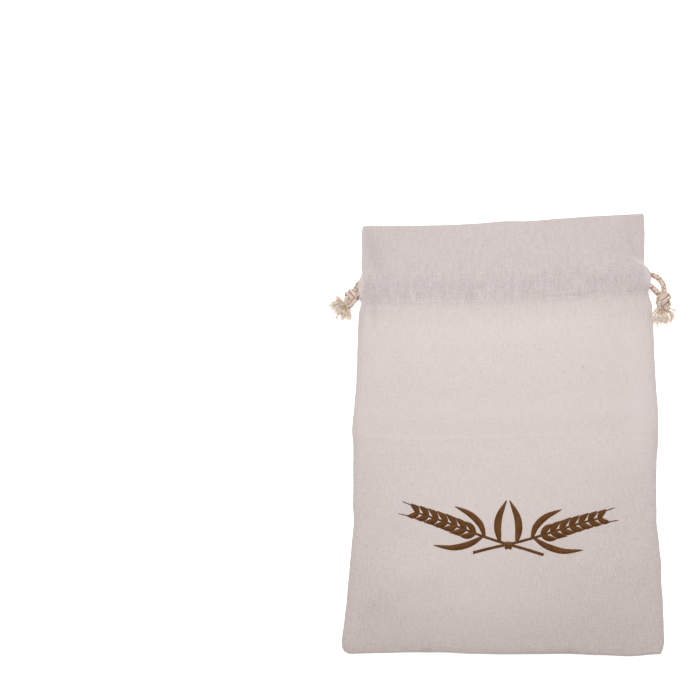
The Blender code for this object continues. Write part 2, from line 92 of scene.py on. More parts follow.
# %% Tables of the outline and the folds
Row = namedtuple("Row", "name v left_x left_y right_x right_y sag side crown fullness")
ROWS = (
    Row("bottom seam",    0.0, -135.6,  -2.1, 130.1,   1.7, 0.0,  2.5,  2.5, 4.0),
    Row("corner turn",    4.0, -140.7,   0.9, 131.8,   4.4, 0.0,  2.5,  3.6, 4.0),
    Row("corner",        10.0, -142.1,   6.6, 133.9,  13.1, 0.2,  2.5,  5.2, 4.0),
    Row("above corner",  28.0, -140.0,  25.9, 134.0,  29.7, 0.6,  2.5,  9.0, 4.0),
    Row("lower side",    45.0, -138.2,  42.9, 134.3,  46.3, 1.0,  2.5, 11.4, 4.0),
    Row("belly",         79.0, -135.3,  77.2, 134.2,  80.1, 1.8,  2.5, 13.4, 5.0),
    Row("waist",        113.0, -132.9, 112.0, 132.9, 114.4, 2.6,  2.5, 13.7, 5.0),
    Row("above waist",  148.0, -133.6, 147.4, 134.2, 149.3, 3.6,  2.5, 13.3, 5.0),
    Row("under crease", 175.0, -133.6, 174.4, 136.4, 175.8, 4.4,  2.5, 12.4, 5.0),
    Row("crease",       194.0, -134.9, 192.5, 138.4, 195.5, 5.0,  2.5, 10.4, 5.0),
    Row("over crease",  211.0, -133.6, 210.8, 138.8, 213.0, 5.0,  2.5, 11.9, 5.0),
    Row("upper body",   246.0, -131.2, 246.0, 138.3, 247.6, 5.0,  2.5, 13.2, 5.0),
    Row("shoulder",     280.0, -130.7, 278.0, 138.8, 282.6, 4.9,  2.5, 14.3, 5.0),
    Row("side slit",    303.0, -129.8, 300.0, 137.8, 306.4, 4.8,  6.2, 14.8, 5.0),
    Row("lower stitch", 315.0, -127.3, 310.8, 133.6, 319.6, 4.8, 10.4, 15.2, 4.0),
    Row("channel low",  319.5, -129.0, 315.3, 135.0, 324.0, 4.7, 13.4, 18.0, 4.0),
    Row("channel",      328.0, -130.6, 323.6, 136.6, 332.4, 4.5, 13.4, 18.0, 4.0),
    Row("channel high", 336.5, -128.8, 332.0, 134.6, 340.8, 4.3, 13.4, 18.0, 4.0),
    Row("upper stitch", 341.0, -127.2, 336.4, 131.6, 345.2, 4.2, 10.4, 15.2, 4.0),
    Row("heading low",  354.0, -127.6, 349.6, 133.0, 357.7, 4.2,  7.6, 14.6, 3.0),
    Row("heading",      372.0, -127.7, 367.2, 134.7, 376.4, 4.2,  5.6, 13.9, 2.5),
    Row("heading top",  388.0, -127.4, 382.6, 135.2, 392.8, 4.3,  4.7, 13.5, 2.5),
    Row("mouth edge",   391.0, -126.2, 385.6, 134.5, 395.9, 4.3,  4.6, 13.4, 2.5),
)
HEIGHT_UP = [row.v for row in ROWS]
COLUMNS = {field: [getattr(row, field) for row in ROWS] for field in Row._fields[2:]}
LOWER_STITCH, UPPER_STITCH, TOP = 315.0, 341.0, 391.0
CHANNEL_LINE = (LOWER_STITCH + UPPER_STITCH) / 2
MIDDLE_X = (min(row.left_x for row in ROWS) + max(row.right_x for row in ROWS)) / 2
MIDDLE_Y = (ROWS[0].left_y + ROWS[-1].right_y) / 2

Fold = namedtuple("Fold", "name x0 y0 x1 y1 width height")
FOLDS = (
    Fold("lower left",     -54.0,  80.0, -112.0,  34.0, 13.0,  1.5),
    Fold("left hollow",    -78.0, 118.0, -122.0,  66.0, 15.0, -1.1),
    Fold("lower right",    112.0, 134.0,  124.0,  40.0,  9.0,  1.2),
    Fold("right hollow",    92.0, 120.0,  106.0,  30.0, 12.0, -0.9),
    Fold("left shoulder",  -92.0, 298.0, -108.0, 236.0,  9.0, -1.0),
    Fold("right shoulder", 104.0, 300.0,  112.0, 246.0, 10.0, -0.9),
)
# How much the mouth and the bottom seam lie above a smooth curve, at equal steps from the left end to the right
MOUTH_WAVE = (0.0, -0.8, -1.35, -1.6, -1.2, -0.2, -1.2, -0.4, 0.15, 0.0, 0.0)
SEAM_WAVE = (0.0, 0.7, 1.3, 1.3, 0.15, -0.3, -0.1, 0.2, -0.8, -1.7, 0.0)
SEAM_REACH = 28.0    # the bottom seam's waves fade out this far up the cloth
print(len(ROWS), "rows from bottom seam to mouth,", len(FOLDS), "soft folds")

# %% [markdown]
# A table has few rows, so it is read on a smooth curve through them that never overshoots. `plan` then says where
# a point of the cloth lies on the floor, and `front_height` how high the front's upper face stands there.

# %% Read the tables
CAD_PLY, CORD, GAP = 1.1, 3.8, 0.3   # of the solids: one layer of cloth, the cord, the space where pieces touch
TUNNEL = CORD + 2 * GAP              # clear height of a channel
FADE_U, FADE_V = 0.125, 30.0         # a fold fades out this near to the sides (in u) and to the bottom seam


def limited(t):
    """t, kept between 0 and 1."""
    return min(max(t, 0.0), 1.0)


def soft_step(t):
    """A rise from 0 to 1 that starts and ends softly."""
    t = limited(t)
    return t * t * (3 - 2 * t)


def step_with(steps, value):
    """The number of the step that value lies in."""
    return min(max(bisect.bisect_right(steps, value) - 1, 0), len(steps) - 2)


def column_at(values, v):
    """Read a table column at v."""
    i = step_with(HEIGHT_UP, v)

    def slope(k):
        return (values[k + 1] - values[k]) / (HEIGHT_UP[k + 1] - HEIGHT_UP[k])

    def tangent(k):
        if k in (0, len(ROWS) - 1):
            return slope(min(k, len(ROWS) - 2))
        before, after = slope(k - 1), slope(k)
        return 2 * before * after / (before + after) if before * after > 0 else 0.0

    step = HEIGHT_UP[i + 1] - HEIGHT_UP[i]
    t = limited((v - HEIGHT_UP[i]) / step)
    bend = step * t * (1 - t) * ((1 - t) * tangent(i) - t * tangent(i + 1))
    return values[i] + bend + (values[i + 1] - values[i]) * soft_step(t)


@lru_cache(maxsize=4096)
def row_at(v):
    """The whole row of the table at v."""
    return {field: column_at(values, v) for field, values in COLUMNS.items()}


def along_edge(wave, u):
    """Read a wave of the outline at u."""
    place = (u + 1) / 2 * (len(wave) - 1)
    i = min(max(int(place), 0), len(wave) - 2)
    return wave[i] + (wave[i + 1] - wave[i]) * soft_step(place - i)


def plan(u, v, inset=0.0):
    """Where the cloth's point u (-1 at the left edge, 1 at the right) and v lies on the floor."""
    row = row_at(v)
    left, right = row["left_x"] + inset, row["right_x"] - inset
    share = (u + 1) / 2
    x = left + (right - left) * share
    true_u = 2 * (x - row["left_x"]) / (row["right_x"] - row["left_x"]) - 1
    y = row["left_y"] + (row["right_y"] - row["left_y"]) * share - row["sag"] * (1 - true_u ** 2)
    y += along_edge(MOUTH_WAVE, true_u) * max(0.0, (v - UPPER_STITCH) / (TOP - UPPER_STITCH))
    y += along_edge(SEAM_WAVE, true_u) * max(0.0, 1 - v / SEAM_REACH)
    return x, y, true_u, row


def fold_height(x, y, folds=FOLDS):
    """Soft ridges and hollows: each fades out to both its ends and away from its line."""
    total = 0.0
    for fold in folds:
        along = Vector((fold.x1 - fold.x0, fold.y1 - fold.y0))
        place = Vector((x - fold.x0, y - fold.y0))
        t = place.dot(along) / along.length_squared
        off = abs(place.cross(along)) / along.length
        ends = max(0.0, 1 - (2 * t - 1) ** 2) if 0 < t < 1 else 0.0
        total += fold.height * ends * math.exp(-(off / fold.width) ** 2)
    return total


def front_height(u, v, x, y, row):
    """How high the front's upper face stands."""
    crown = row["side"] + (row["crown"] - row["side"]) * (1 - abs(u) ** row["fullness"])
    return crown + fold_height(x, y) * limited((1 - abs(u)) / FADE_U) * limited(v / FADE_V)


def placed(x, y, z):
    """A point in metres in the shared frame, from millimetres on the bag."""
    return Vector(((x - MIDDLE_X) * MM, (y - MIDDLE_Y) * MM, z * MM))


print("width at the belly:", round(row_at(79.0)["right_x"] - row_at(79.0)["left_x"], 1), "mm")

# %% [markdown]
# ## The drawcords
#
# Each cord leaves its knot, runs through the front channel, turns round at the far side of the bag and comes back
# through the back channel. The route is the same as the solids': a smooth curve through a few chosen points.

# %% The route of a cord
LANE = 6.3                           # a cord's distance from the middle line of its channel
CHANNEL_MIDDLE = CAD_PLY + TUNNEL / 2   # from a sheet's outer face to the middle of its channel
TURN_U, MOUTH_U = 0.92, 0.84         # where a cord turns round, and where its run through a channel ends
RUN_POINTS, TURN_STEPS = 9, 6
LEFT_FRONT_END = ((-120.0, 330.4, 11.0), (-125.0, 330.0, 10.4), (-128.8, 328.6, 9.9), (-131.0, 326.6, 9.6),
                  (-132.4, 323.7, 9.2))
LEFT_BACK_END = ((-119.0, 317.6, 3.3), (-122.6, 318.2, 3.3), (-125.8, 318.9, 3.4), (-128.9, 321.0, 3.9))
RIGHT_FRONT_END = ((125.6, 326.4, 11.4), (130.4, 326.8, 10.8), (135.2, 325.6, 9.8), (139.2, 322.2, 9.6),
                   (143.5, 317.1, 9.2))
RIGHT_BACK_END = ((125.0, 337.8, 3.3), (131.0, 338.4, 3.3), (136.8, 338.0, 3.4), (142.2, 336.1, 3.8),
                  (146.4, 332.6, 4.4), (148.9, 327.8, 5.0), (149.6, 322.8, 5.5), (149.3, 317.9, 5.8))
ENDS = {"left": (LEFT_FRONT_END, LEFT_BACK_END), "right": (RIGHT_FRONT_END, RIGHT_BACK_END)}


def smooth_route(route, per_span=12):
    """A smooth curve through the route's points, with its length up to each of them."""
    points = [Vector(p) for p in route]
    ends = [2 * points[0] - points[1]] + points + [2 * points[-1] - points[-2]]
    dense = []
    for a, b, c, d in zip(ends, ends[1:], ends[2:], ends[3:]):
        for k in range(per_span):
            t = k / per_span
            dense.append(0.5 * (2 * b + (c - a) * t + (2 * a - 5 * b + 4 * c - d) * t ** 2
                                + (3 * b - a - 3 * c + d) * t ** 3))
    dense.append(points[-1])
    reach = [0.0]
    for a, b in zip(dense, dense[1:]):
        reach.append(reach[-1] + (b - a).length)
    return dense, reach


def point_along(dense, reach, distance):
    """The point of a smooth curve at this distance along it."""
    i = step_with(reach, distance)
    t = (distance - reach[i]) / (reach[i + 1] - reach[i])
    return dense[i].lerp(dense[i + 1], limited(t))


def direction(dense, reach, distance, look):
    """The way that a route goes, judged from as far as look behind and ahead."""
    ahead = point_along(dense, reach, min(distance + look, reach[-1]))
    return (ahead - point_along(dense, reach, max(distance - look, 0.0))).normalized()


def channel_run(u_from, u_to, lane, in_front):
    """Points of a cord inside a channel."""
    points = []
    for k in range(RUN_POINTS):
        u = u_from + (u_to - u_from) * k / (RUN_POINTS - 1)
        x, y, true_u, row = plan(u, CHANNEL_LINE + lane)
        front = front_height(true_u, CHANNEL_LINE, x, y, row) - CHANNEL_MIDDLE
        points.append((x, y, front if in_front else CHANNEL_MIDDLE))
    return points


def turn_at(sign, lane):
    """The half turn of a cord from the front channel into the back one, at the left (-1) or the right (1)."""
    x, y, true_u, row = plan(sign * TURN_U, CHANNEL_LINE)
    upper = Vector((0, lane, front_height(true_u, CHANNEL_LINE, x, y, row) - CHANNEL_MIDDLE))
    lower = Vector((0, -lane, CHANNEL_MIDDLE))
    centre = (upper + lower) / 2 + Vector((x, y, 0))
    arm = (upper - lower) / 2
    out = Vector((sign * arm.length, 0, 0))
    return [tuple(centre + arm * math.cos(angle) + out * math.sin(angle))
            for angle in (math.pi * k / TURN_STEPS for k in range(1, TURN_STEPS))]


def drawcord_route(side):
    """Out of the knot, through the front channel, round the far side and back through the back channel."""
    sign = -1 if side == "left" else 1
    front_end, back_end = ENDS[side]
    lane = -sign * LANE
    out = channel_run(sign * MOUTH_U, -sign * TURN_U, lane, True)
    back = channel_run(-sign * TURN_U, sign * MOUTH_U, -lane, False)
    return [*reversed(front_end), *out, *turn_at(-sign, lane), *back, *back_end]


for side in ENDS:
    print(side, "cord's route:", len(drawcord_route(side)), "points,",
          round(smooth_route(drawcord_route(side))[1][-1], 1), "mm")

# %% [markdown]
# A twisted cord is three plies that wind round each other. A smooth tube with a bump map would look like a hose
# from close by, so each ply is a tube of its own, on a line that winds round the cord's line. Blender's curves
# make such tubes: a spline with a bevel depth, turned into a mesh at once. Threads and fibres are made so too.

# %% Tubes along lines
def tubes(name, lines, radius, roundness=1):
    """Threads as one mesh. A line is a list of points, each (x, y, z) or (x, y, z, share of the radius)."""
    curve = bpy.data.curves.new(name, "CURVE")
    curve.dimensions = "3D"
    curve.bevel_depth = radius * MM
    curve.bevel_resolution = roundness
    curve.use_fill_caps = True
    for line in lines:
        spline = curve.splines.new("POLY")
        spline.points.add(len(line) - 1)
        for point, spot in zip(spline.points, line):
            point.co = (*placed(*spot[:3]), 1)
            point.radius = spot[3] if len(spot) > 3 else 1.0
    holder = show(name + "_line", curve)
    drawn = holder.evaluated_get(bpy.context.evaluated_depsgraph_get())
    mesh = bpy.data.meshes.new_from_object(drawn)
    bpy.data.objects.remove(holder)
    bpy.data.curves.remove(curve)
    mesh.name = name
    mesh.materials.clear()
    mesh.shade_smooth()
    piece = show(name, mesh)
    print(name + ":", len(lines), "threads,", len(mesh.polygons), "faces")
    return piece


# %% Wind three plies round a line
PLY_RADIUS, PLY_OFFSET = 1.38, 1.00  # a ply's radius, and its distance from the cord's line
TWIST_PITCH, PLY_STEP = 11.0, 1.0    # length of a full turn of the plies, and of one step along them
PLY_LOOK = 0.5                       # a cord's direction is judged over this length to both sides
PRESSED, PRESS_BLEND = 0.76, 9.0     # a cord's thickness in the channel, and the length of the change
FREE = {"left": (8.0, 6.0), "right": (14.0, 22.0)}   # length at each end of a cord where it is fully thick
SWOLLEN = 1.1                        # a free end's thickness, as a share of the untouched cord's


def size_at(distance, length, free):
    """A cord's thickness: swollen at its free ends, pressed flatter inside the channels."""
    inside = min(distance - free[0], length - free[1] - distance) / PRESS_BLEND
    return SWOLLEN + (PRESSED - SWOLLEN) * limited(inside)


def wound(route, offset=PLY_OFFSET, start=0.0, pitch=TWIST_PITCH, free=None):
    """The lines of three plies that wind round a route."""
    dense, reach = smooth_route(route)
    steps = max(round(reach[-1] / PLY_STEP), 4)
    lines = [[], [], []]
    across = Vector((0.3, 0.2, 1.0))
    for k in range(steps + 1):
        distance = reach[-1] * k / steps
        here = point_along(dense, reach, distance)
        along = direction(dense, reach, distance, PLY_LOOK)
        across = (across - along * across.dot(along)).normalized()
        over = along.cross(across)
        thick = size_at(distance, reach[-1], free) if free else 1.0
        for ply, line in enumerate(lines):
            angle = start + math.tau * (distance / pitch + ply / 3)
            spot = here + (across * math.cos(angle) + over * math.sin(angle)) * offset * thick
            line.append((*spot, thick))
    return lines


# %% Mark what lies deep, and make the two cords
MARK_STEP = 0.5                      # distance between the points that stand for a route
PINCH, PINCH_WIDTH = 0.46, 0.9       # painted shade where two cords touch: how dark, and how far from there
WORN, FRONT_END_SHADE, SHADED_FRONT_LENGTH = 1.35, 2.1, 18.0   # how speckled a cord is, and how much more over this length of its front end, where it is painted shade


def store(piece, name, values):
    """Keep a number for each point of a piece, for its finish to read."""
    piece.data.attributes.new(name, "FLOAT", "POINT").data.foreach_set("value", values)


def route_tree(route):
    """Closely spaced points of a route, ready to be asked for the nearest one."""
    dense, reach = smooth_route(route)
    count = max(int(reach[-1] / MARK_STEP), 1)
    tree = kdtree.KDTree(count + 1)
    for k in range(count + 1):
        tree.insert(placed(*point_along(dense, reach, reach[-1] * k / count)), k)
    tree.balance()
    return tree


def mark_grooves(piece, routes, outside):
    """Store how deep each point lies: 0 on a cord's outside, more between its plies and where two cords touch.

    A piece of a single route is a cord, and also stores how speckled it is, with more specks as painted shade on its
    front end."""
    trees = [route_tree(route) for route in routes]
    depths, speck_and_shade_levels = [], []
    for vert in piece.data.vertices:
        found = [tree.find(vert.co) for tree in trees]
        near, *others = sorted(distance / MM for _, _, distance in found)
        pinch = PINCH * (1 - (others[0] - near) / PINCH_WIDTH) if others else 0.0
        depths.append(max(1 - near / outside, pinch, 0.0))
        speck_and_shade_levels.append(FRONT_END_SHADE if found[0][1] * MARK_STEP < SHADED_FRONT_LENGTH else WORN)
    store(piece, "groove", depths)
    if len(routes) == 1:
        store(piece, "specks_and_shade", speck_and_shade_levels)


cords = {}
for side in ENDS:
    route = drawcord_route(side)
    cords[side] = tubes("cord_" + side, wound(route, free=FREE[side]), PLY_RADIUS, 2)
    mark_grooves(cords[side], [route], PLY_RADIUS + PLY_OFFSET)

# %% [markdown]
# ## The cloth
#
# Each side of the bag is one sheet. It runs up from the bottom seam, folds over at the mouth and comes down again
# inside as far as the lower stitches. It is made flat, as a grid whose rows and columns follow the cloth, and
# then every point is put in its place. Wrinkles are soft random waves, each kind where the real cloth has it:
# gathers along the channel, puckers beside the stitches, a pressed crease half way up. A wave has a size across
# and up the cloth and shows between `low` and `high`, with a soft change over `fade`.

# %% Waves of the cloth
Wave = namedtuple("Wave", "name across up height low high fade seed")
WAVES = (
    Wave("soft swells",              74.0,  58.0, 0.75, -50.0, 450.0, 10.0,  3.1),
    Wave("small dents",              21.0,  26.0, 0.20, -50.0, 450.0, 10.0,  7.7),
    Wave("gathers in the channel",    8.5,  60.0, 0.70, 318.0, 338.0,  5.0,  2.2),
    Wave("gathers below",            12.0,  70.0, 0.42, 300.0, 314.0, 26.0, 12.4),
    Wave("gathers above",            13.0,  60.0, 0.34, 342.0, 350.0, 22.0,  5.9),
    Wave("puckers at lower stitches", 5.6,  14.0, 0.20, 312.0, 318.0,  5.0, 21.3),
    Wave("puckers at upper stitches", 5.2,  14.0, 0.20, 338.0, 344.0,  5.0, 33.8),
    Wave("puckers at bottom seam",    7.5,  16.0, 0.32,   3.0,   6.0,  7.0, 41.2),
)
SIDE_PUCKER, SIDE_PUCKER_LENGTH, SIDE_PUCKER_REACH = 0.30, 8.0, 9.0   # height, length along the seam, width
CREASE_LINE = (187.6, 186.3, 189.5, 191.7, 191.2, 191.4)   # v of the crease, at equal steps across the bag
CREASE_REACH, CREASE_WIDTH, CREASE_HEIGHT = 136.0, 1.9, 0.28   # half its length, and its size
CREASE_DIP, DIP_BELOW, DIP_WIDTH = 0.7, 4.0, 3.0   # the dip below it: its share of the height, place and width
SEAM_CALM, CALM_WIDTH = 0.6, 5.0     # no wrinkle this near to a seam, and the width of the change
CHANNEL_CALM = 0.65                  # how much of a hollow is lost over the channel, which the cord fills
GROOVE, GROOVE_WIDTH = 0.07, 0.8     # how deep and wide the stitches pull the cloth in
BACK_GROOVE = 4.2                    # times deeper on the back, so that its stitches don't press on the table
SMALL_FOLDS = (
    Fold("heading, left",          -116.0, 374.0,  -54.0, 338.0, 7.0,  1.2),
    Fold("heading, beside it",     -100.0, 384.0,  -34.0, 342.0, 8.0, -1.0),
    Fold("heading, left end",      -124.0, 386.0, -112.0, 330.0, 8.0, -1.0),
    Fold("heading, middle",         -10.0, 386.0,   34.0, 344.0, 9.0,  0.7),
    Fold("pucker at the left end", -125.0, 350.0, -112.0, 331.0, 1.5,  0.5),
    Fold("pucker, first",           -90.0, 358.0,  -73.0, 336.0, 1.6,  0.45),
    Fold("pucker, second",          -66.0, 349.0,  -51.0, 332.0, 1.5,  0.4),
    Fold("pucker, third",           -40.0, 362.0,  -30.0, 338.0, 1.5,  0.4),
    Fold("left end, upper edge",   -130.0, 334.0, -119.0, 343.0, 1.4,  0.5),
    Fold("left end, lower edge",   -129.5, 332.0, -124.0, 317.0, 1.4,  0.4),
    Fold("right end, upper edge",   119.0, 347.0,  133.0, 337.0, 1.7,  0.6),
    Fold("hollow above it",         119.0, 351.0,  128.0, 344.0, 1.6, -0.5),
    Fold("left shoulder fold",     -119.0, 325.0, -115.0, 270.0, 4.0, -0.8),
)
RIM_WIDTH, RIM_SHADE = 8.0, 0.55     # the sewn edges get a little painted shade: its width and its strength
# Soft painted shade and painted highlights on the cloth that its shape alone doesn't show: positive is darker,
# negative paler
SHADES = (
    Fold("heading, left fold",    -122.0, 384.0, -106.0, 332.0, 6.5,  0.55),
    Fold("heading, left corner",  -123.0, 396.0, -116.0, 340.0, 5.0,  0.35),
    Fold("heading, right fold",    114.0, 382.0,  126.0, 346.0, 4.0,  0.6),
    Fold("left end, streak",      -118.0, 336.0, -117.0, 286.0, 2.6,  0.45),
    Fold("left end, upper rim",   -125.5, 346.0, -130.0, 318.0, 2.2, -1.0),
    Fold("left end, lower rim",   -131.0, 332.0, -126.5, 305.0, 2.2, -1.0),
    Fold("left end, inside it",   -123.0, 340.0, -122.5, 310.0, 1.8,  0.3),
    Fold("right end, upper rim",   117.0, 353.0,  134.5, 337.0, 1.5, -1.0),
    Fold("right end, outer rim",   131.5, 348.0,  135.0, 316.0, 2.0, -1.0),
    Fold("bottom seam, left dent", -76.0,  -4.0,  -62.0,   9.0, 3.5,  0.9),
    Fold("bottom seam, mid dent",   50.0,  -4.0,   57.0,   9.0, 3.5,  0.7),
    Fold("lower left, bright",     -96.0,  30.0,  -66.0,  62.0, 7.0, -0.5),
    Fold("lower left, dim",       -120.0,  14.0, -112.0,  60.0, 8.0,  0.5),
    Fold("lower body, bright",     -45.0, 170.0,  -25.0, -30.0, 75.0, -0.95),
    Fold("over crease, bright",   -160.0, 208.0,  170.0, 212.0, 13.0, -0.55),
    Fold("under crease, dim",     -160.0, 182.0,  170.0, 185.0,  6.0,  0.20),
    Fold("right side, bright",     122.0, 300.0,  118.0, 130.0, 12.0, -0.55),
)


def random_wave(x, y, seed):
    """A smooth random number, mostly between -1 and 1."""
    return 1.6 * noise.noise(Vector((x, y, seed)))


def bump_at(v, centre, width):
    """1 at the centre, fading out to both sides."""
    return math.exp(-((v - centre) / width) ** 2)


def edge_distance(u, v, row):
    """Millimetres to the nearest side or to the bottom seam."""
    return min((1 - abs(u)) * (row["right_x"] - row["left_x"]) / 2, v)


def grooves(v):
    """How the two rows of stitches pull the cloth in."""
    return -GROOVE * (bump_at(v, LOWER_STITCH, GROOVE_WIDTH) + bump_at(v, UPPER_STITCH, GROOVE_WIDTH))


def wrinkles(x, v, edge):
    """The height of all waves at a point that lies edge from the nearest seam."""
    total = 0.0
    for wave in WAVES:
        near = min(soft_step((v - wave.low) / wave.fade + 1), soft_step((wave.high - v) / wave.fade + 1))
        if near > 0:
            total += near * wave.height * random_wave(x / wave.across, v / wave.up, wave.seed)
    sides = 1 - soft_step(edge / SIDE_PUCKER_REACH)
    total += SIDE_PUCKER * sides * random_wave(v / SIDE_PUCKER_LENGTH, x / 60, 51.0)
    crease = along_edge(CREASE_LINE, x / CREASE_REACH) + 0.6 * random_wave(x / 25, 0.0, 61.0)
    strength = 0.6 + 0.4 * random_wave(x / 30, 0.0, 71.0)
    dip = CREASE_DIP * bump_at(v, crease - DIP_BELOW, DIP_WIDTH)
    total += CREASE_HEIGHT * strength * (bump_at(v, crease, CREASE_WIDTH) - dip)
    if total < 0:
        total *= 1 - CHANNEL_CALM * soft_step(min(v - LOWER_STITCH, UPPER_STITCH - v) / 4)
    return total * soft_step((edge - SEAM_CALM) / CALM_WIDTH)


print("waves:", ", ".join(wave.name for wave in WAVES))

# %% [markdown]
# A turned seam is round: both sheets roll towards each other over the last few millimetres and meet half way up.
# At the mouth the sheet turns on a half circle. The turned part stays narrower in the channel, where the cords
# come round, and hangs below the outer layer by the height of a cord.

# %% Heights of the two sheets
CLOTH = 0.8                          # thickness of the cloth
PLIES_APART = CLOTH + 0.05           # from the middle of the outer layer to the middle of the turned one
ROLL_REACH, ROLL_DROP = 3.0, 0.43    # a seam's roll: how wide it is, and how far the edge goes
SLIT_V, SLIT_BLEND = 296.0, 8.0      # from here up the side seams end, over this length
HEM_SHORT, HEM_INSET = 11.0, 0.5     # the turned layer is narrower by this at each side: in the channel, above it
HEM_BLEND, HEM_END = 6.0, 313.6      # length of the change between them, and the v where the turned layer ends
FLANK, TUNNEL_DROP = 4.5, 4.75       # length of the channel's slopes, and how much lower its inner layer hangs
SOFT_FROM, SOFT_TO, SOFTEN = 298.0, 358.0, 5.0   # where slopes are softened, and over which length
SOFT_BLEND = 8.0
LIFT, LIFT_LENGTH, LIFT_BLEND = 0.10, 40.0, 6.0   # the back's swells: height, length, room to the seams
WOBBLE, WOBBLE_LENGTH = 0.45, 17.0   # the outline's own small waves


def sewn_at(v):
    """1 where the two sheets are sewn together, 0 above the side seams."""
    return 1 - soft_step((v - SLIT_V) / SLIT_BLEND)


def roll(edge, v):
    """How far a sheet's edge has rolled towards the other sheet."""
    t = limited(1 - edge / ROLL_REACH)
    return ROLL_DROP * sewn_at(v) * (1 - math.sqrt(1 - t * t))


def tunnel(v):
    """1 where the channel is open to its full height, 0 at its stitch lines."""
    return soft_step(min(v - LOWER_STITCH, UPPER_STITCH - v) / FLANK)


def hem_inset(v):
    return HEM_SHORT + (HEM_INSET - HEM_SHORT) * soft_step((v - UPPER_STITCH) / HEM_BLEND)


def wobble(v, u):
    """The outline's own small unevenness."""
    side = 1 if u > 0 else -1
    return WOBBLE * random_wave(v / WOBBLE_LENGTH, side * 3.0, 81.0) * abs(u) ** 8 * soft_step(v / 20)


def soft_height(u, v, x, y, row):
    """The front's height, with the slopes at the stitch lines softened."""
    near = soft_step((v - SOFT_FROM) / SOFT_BLEND) * soft_step((SOFT_TO - v) / SOFT_BLEND)
    height = front_height(u, v, x, y, row)
    if near > 0:
        offsets = (-SOFTEN, -SOFTEN / 2, SOFTEN / 2, SOFTEN)
        around = [front_height(u, v + off, x, y, row_at(v + off)) for off in offsets]
        height += near * ((height + sum(around)) / 5 - height)
    return height


def front_middle(u, v, x, y, row):
    edge = edge_distance(u, v, row)
    top = soft_height(u, v, x, y, row) + wrinkles(x, v, edge) + grooves(v)
    top += fold_height(x, y, SMALL_FOLDS) * soft_step(edge / 3)
    return top - CLOTH / 2 - roll(edge, v)


def back_middle(u, v, x, y, row):
    edge = edge_distance(u, v, row)
    lift = LIFT * (1 + random_wave(x / LIFT_LENGTH, v / LIFT_LENGTH, 91.0)) * soft_step(edge / LIFT_BLEND)
    return CLOTH / 2 + roll(edge, v) + lift - BACK_GROOVE * grooves(v)


def sheet_point(u, v, turned, middle, inward):
    """A point of the sheet's middle surface. inward is -1 where the turned layer lies below, 1 where above."""
    x, y, true_u, row = plan(u, v, hem_inset(v) if turned > 0 else 0.0)
    x += wobble(v, true_u)
    z = middle(true_u, v, x, y, row)
    if turned > 0:
        z += inward * (PLIES_APART * turned + TUNNEL_DROP * tunnel(v))
    return Vector((x, y, z))


# %% Lines of the grid
Span = namedtuple("Span", "start end steps")
UP_SPANS = (Span(0, 3, 5), Span(3, 10, 5), Span(10, 184, 68), Span(184, 196, 13), Span(196, 300, 40),
            Span(300, 312, 7), Span(312, 321, 14), Span(321, 335, 8), Span(335, 345, 15), Span(345, 388, 18),
            Span(388, 390.6, 3))
DOWN_SPANS = (Span(390.6, 345, 17), Span(345, 335, 9), Span(335, 321, 6), Span(321, HEM_END, 7))
ACROSS = 156                         # columns of faces across a sheet
FOLD_STEPS = 5                       # faces round the fold at the mouth


def lines_of(spans, turned):
    return [(span.start + (span.end - span.start) * k / span.steps, turned)
            for span in spans for k in range(1, span.steps + 1)]


def lines_up():
    """(v, how far the cloth has turned in) of each line, from the seam over the fold and down inside."""
    angles = [math.pi * k / FOLD_STEPS for k in range(1, FOLD_STEPS)]
    top = UP_SPANS[-1].end
    fold = [(top + PLIES_APART / 2 * math.sin(angle), (1 - math.cos(angle)) / 2) for angle in angles]
    return [(0.0, 0.0), *lines_of(UP_SPANS, 0.0), *fold, (DOWN_SPANS[0].start, 1.0), *lines_of(DOWN_SPANS, 1.0)]


LINES = lines_up()
print(len(LINES), "lines up the cloth,", ACROSS + 1, "across")

# %% Make the two sheets
EDGE_CROWD = 0.65                    # 0 would space the columns evenly
RIM_ROUND, RIM_ANGLE = 0.22, 65.0    # the rounding of the cloth's own edges, and the corners that get it


def across_bag(share):
    """Columns lie closer together near the edges."""
    return (1 - EDGE_CROWD) * share + EDGE_CROWD * math.sin(share * math.pi / 2)


def show_mesh(name, bm):
    """A bmesh that is ready, as an object."""
    mesh = bpy.data.meshes.new(name)
    bm.to_mesh(mesh)
    bm.free()
    return show(name, mesh)


def sheet(name, middle, inward):
    """A grid, put in place point by point. Modifiers give it its thickness and its rounded rim."""
    bm = bmesh.new()
    bmesh.ops.create_grid(bm, x_segments=ACROSS, y_segments=len(LINES) - 1, size=1.0)
    flat = bm.verts.layers.float_vector.new("flat")
    shade = bm.verts.layers.float.new("shade")
    for vert in bm.verts:
        v, turned = LINES[round((vert.co.y + 1) / 2 * (len(LINES) - 1))]
        u = across_bag(vert.co.x)
        spot = sheet_point(u, v, turned, middle, inward)
        vert.co = placed(*spot)
        vert[flat] = (spot.x, v, turned)
        rim = 1 - soft_step(edge_distance(u, v, row_at(v)) / RIM_WIDTH)
        # the outer layer carries painted shade and highlights, and painted shade along the sewn edges
        vert[shade] = fold_height(spot.x, v, SHADES) + RIM_SHADE * rim * sewn_at(v) if turned == 0 else 0.0
    piece = show_mesh(name, bm)
    piece.data.shade_smooth()
    thick = piece.modifiers.new("thickness", "SOLIDIFY")
    thick.thickness = CLOTH * MM
    thick.offset = 0.0
    rounded = piece.modifiers.new("rounded rim", "BEVEL")
    rounded.width = RIM_ROUND * MM
    rounded.segments = 2
    rounded.limit_method = "ANGLE"
    rounded.angle_limit = math.radians(RIM_ANGLE)
    print(name + ":", len(piece.data.polygons), "faces before it gets its thickness")
    return piece


front = sheet("front_cloth", front_middle, -1)
back = sheet("back_cloth", back_middle, 1)

# %% [markdown]
# ## The stitches
#
# Two rows of machine stitches run across each side, below and above the channel. A stitch is a short thread that
# dives into the cloth at both ends, so each gets five points on a shallow arch.

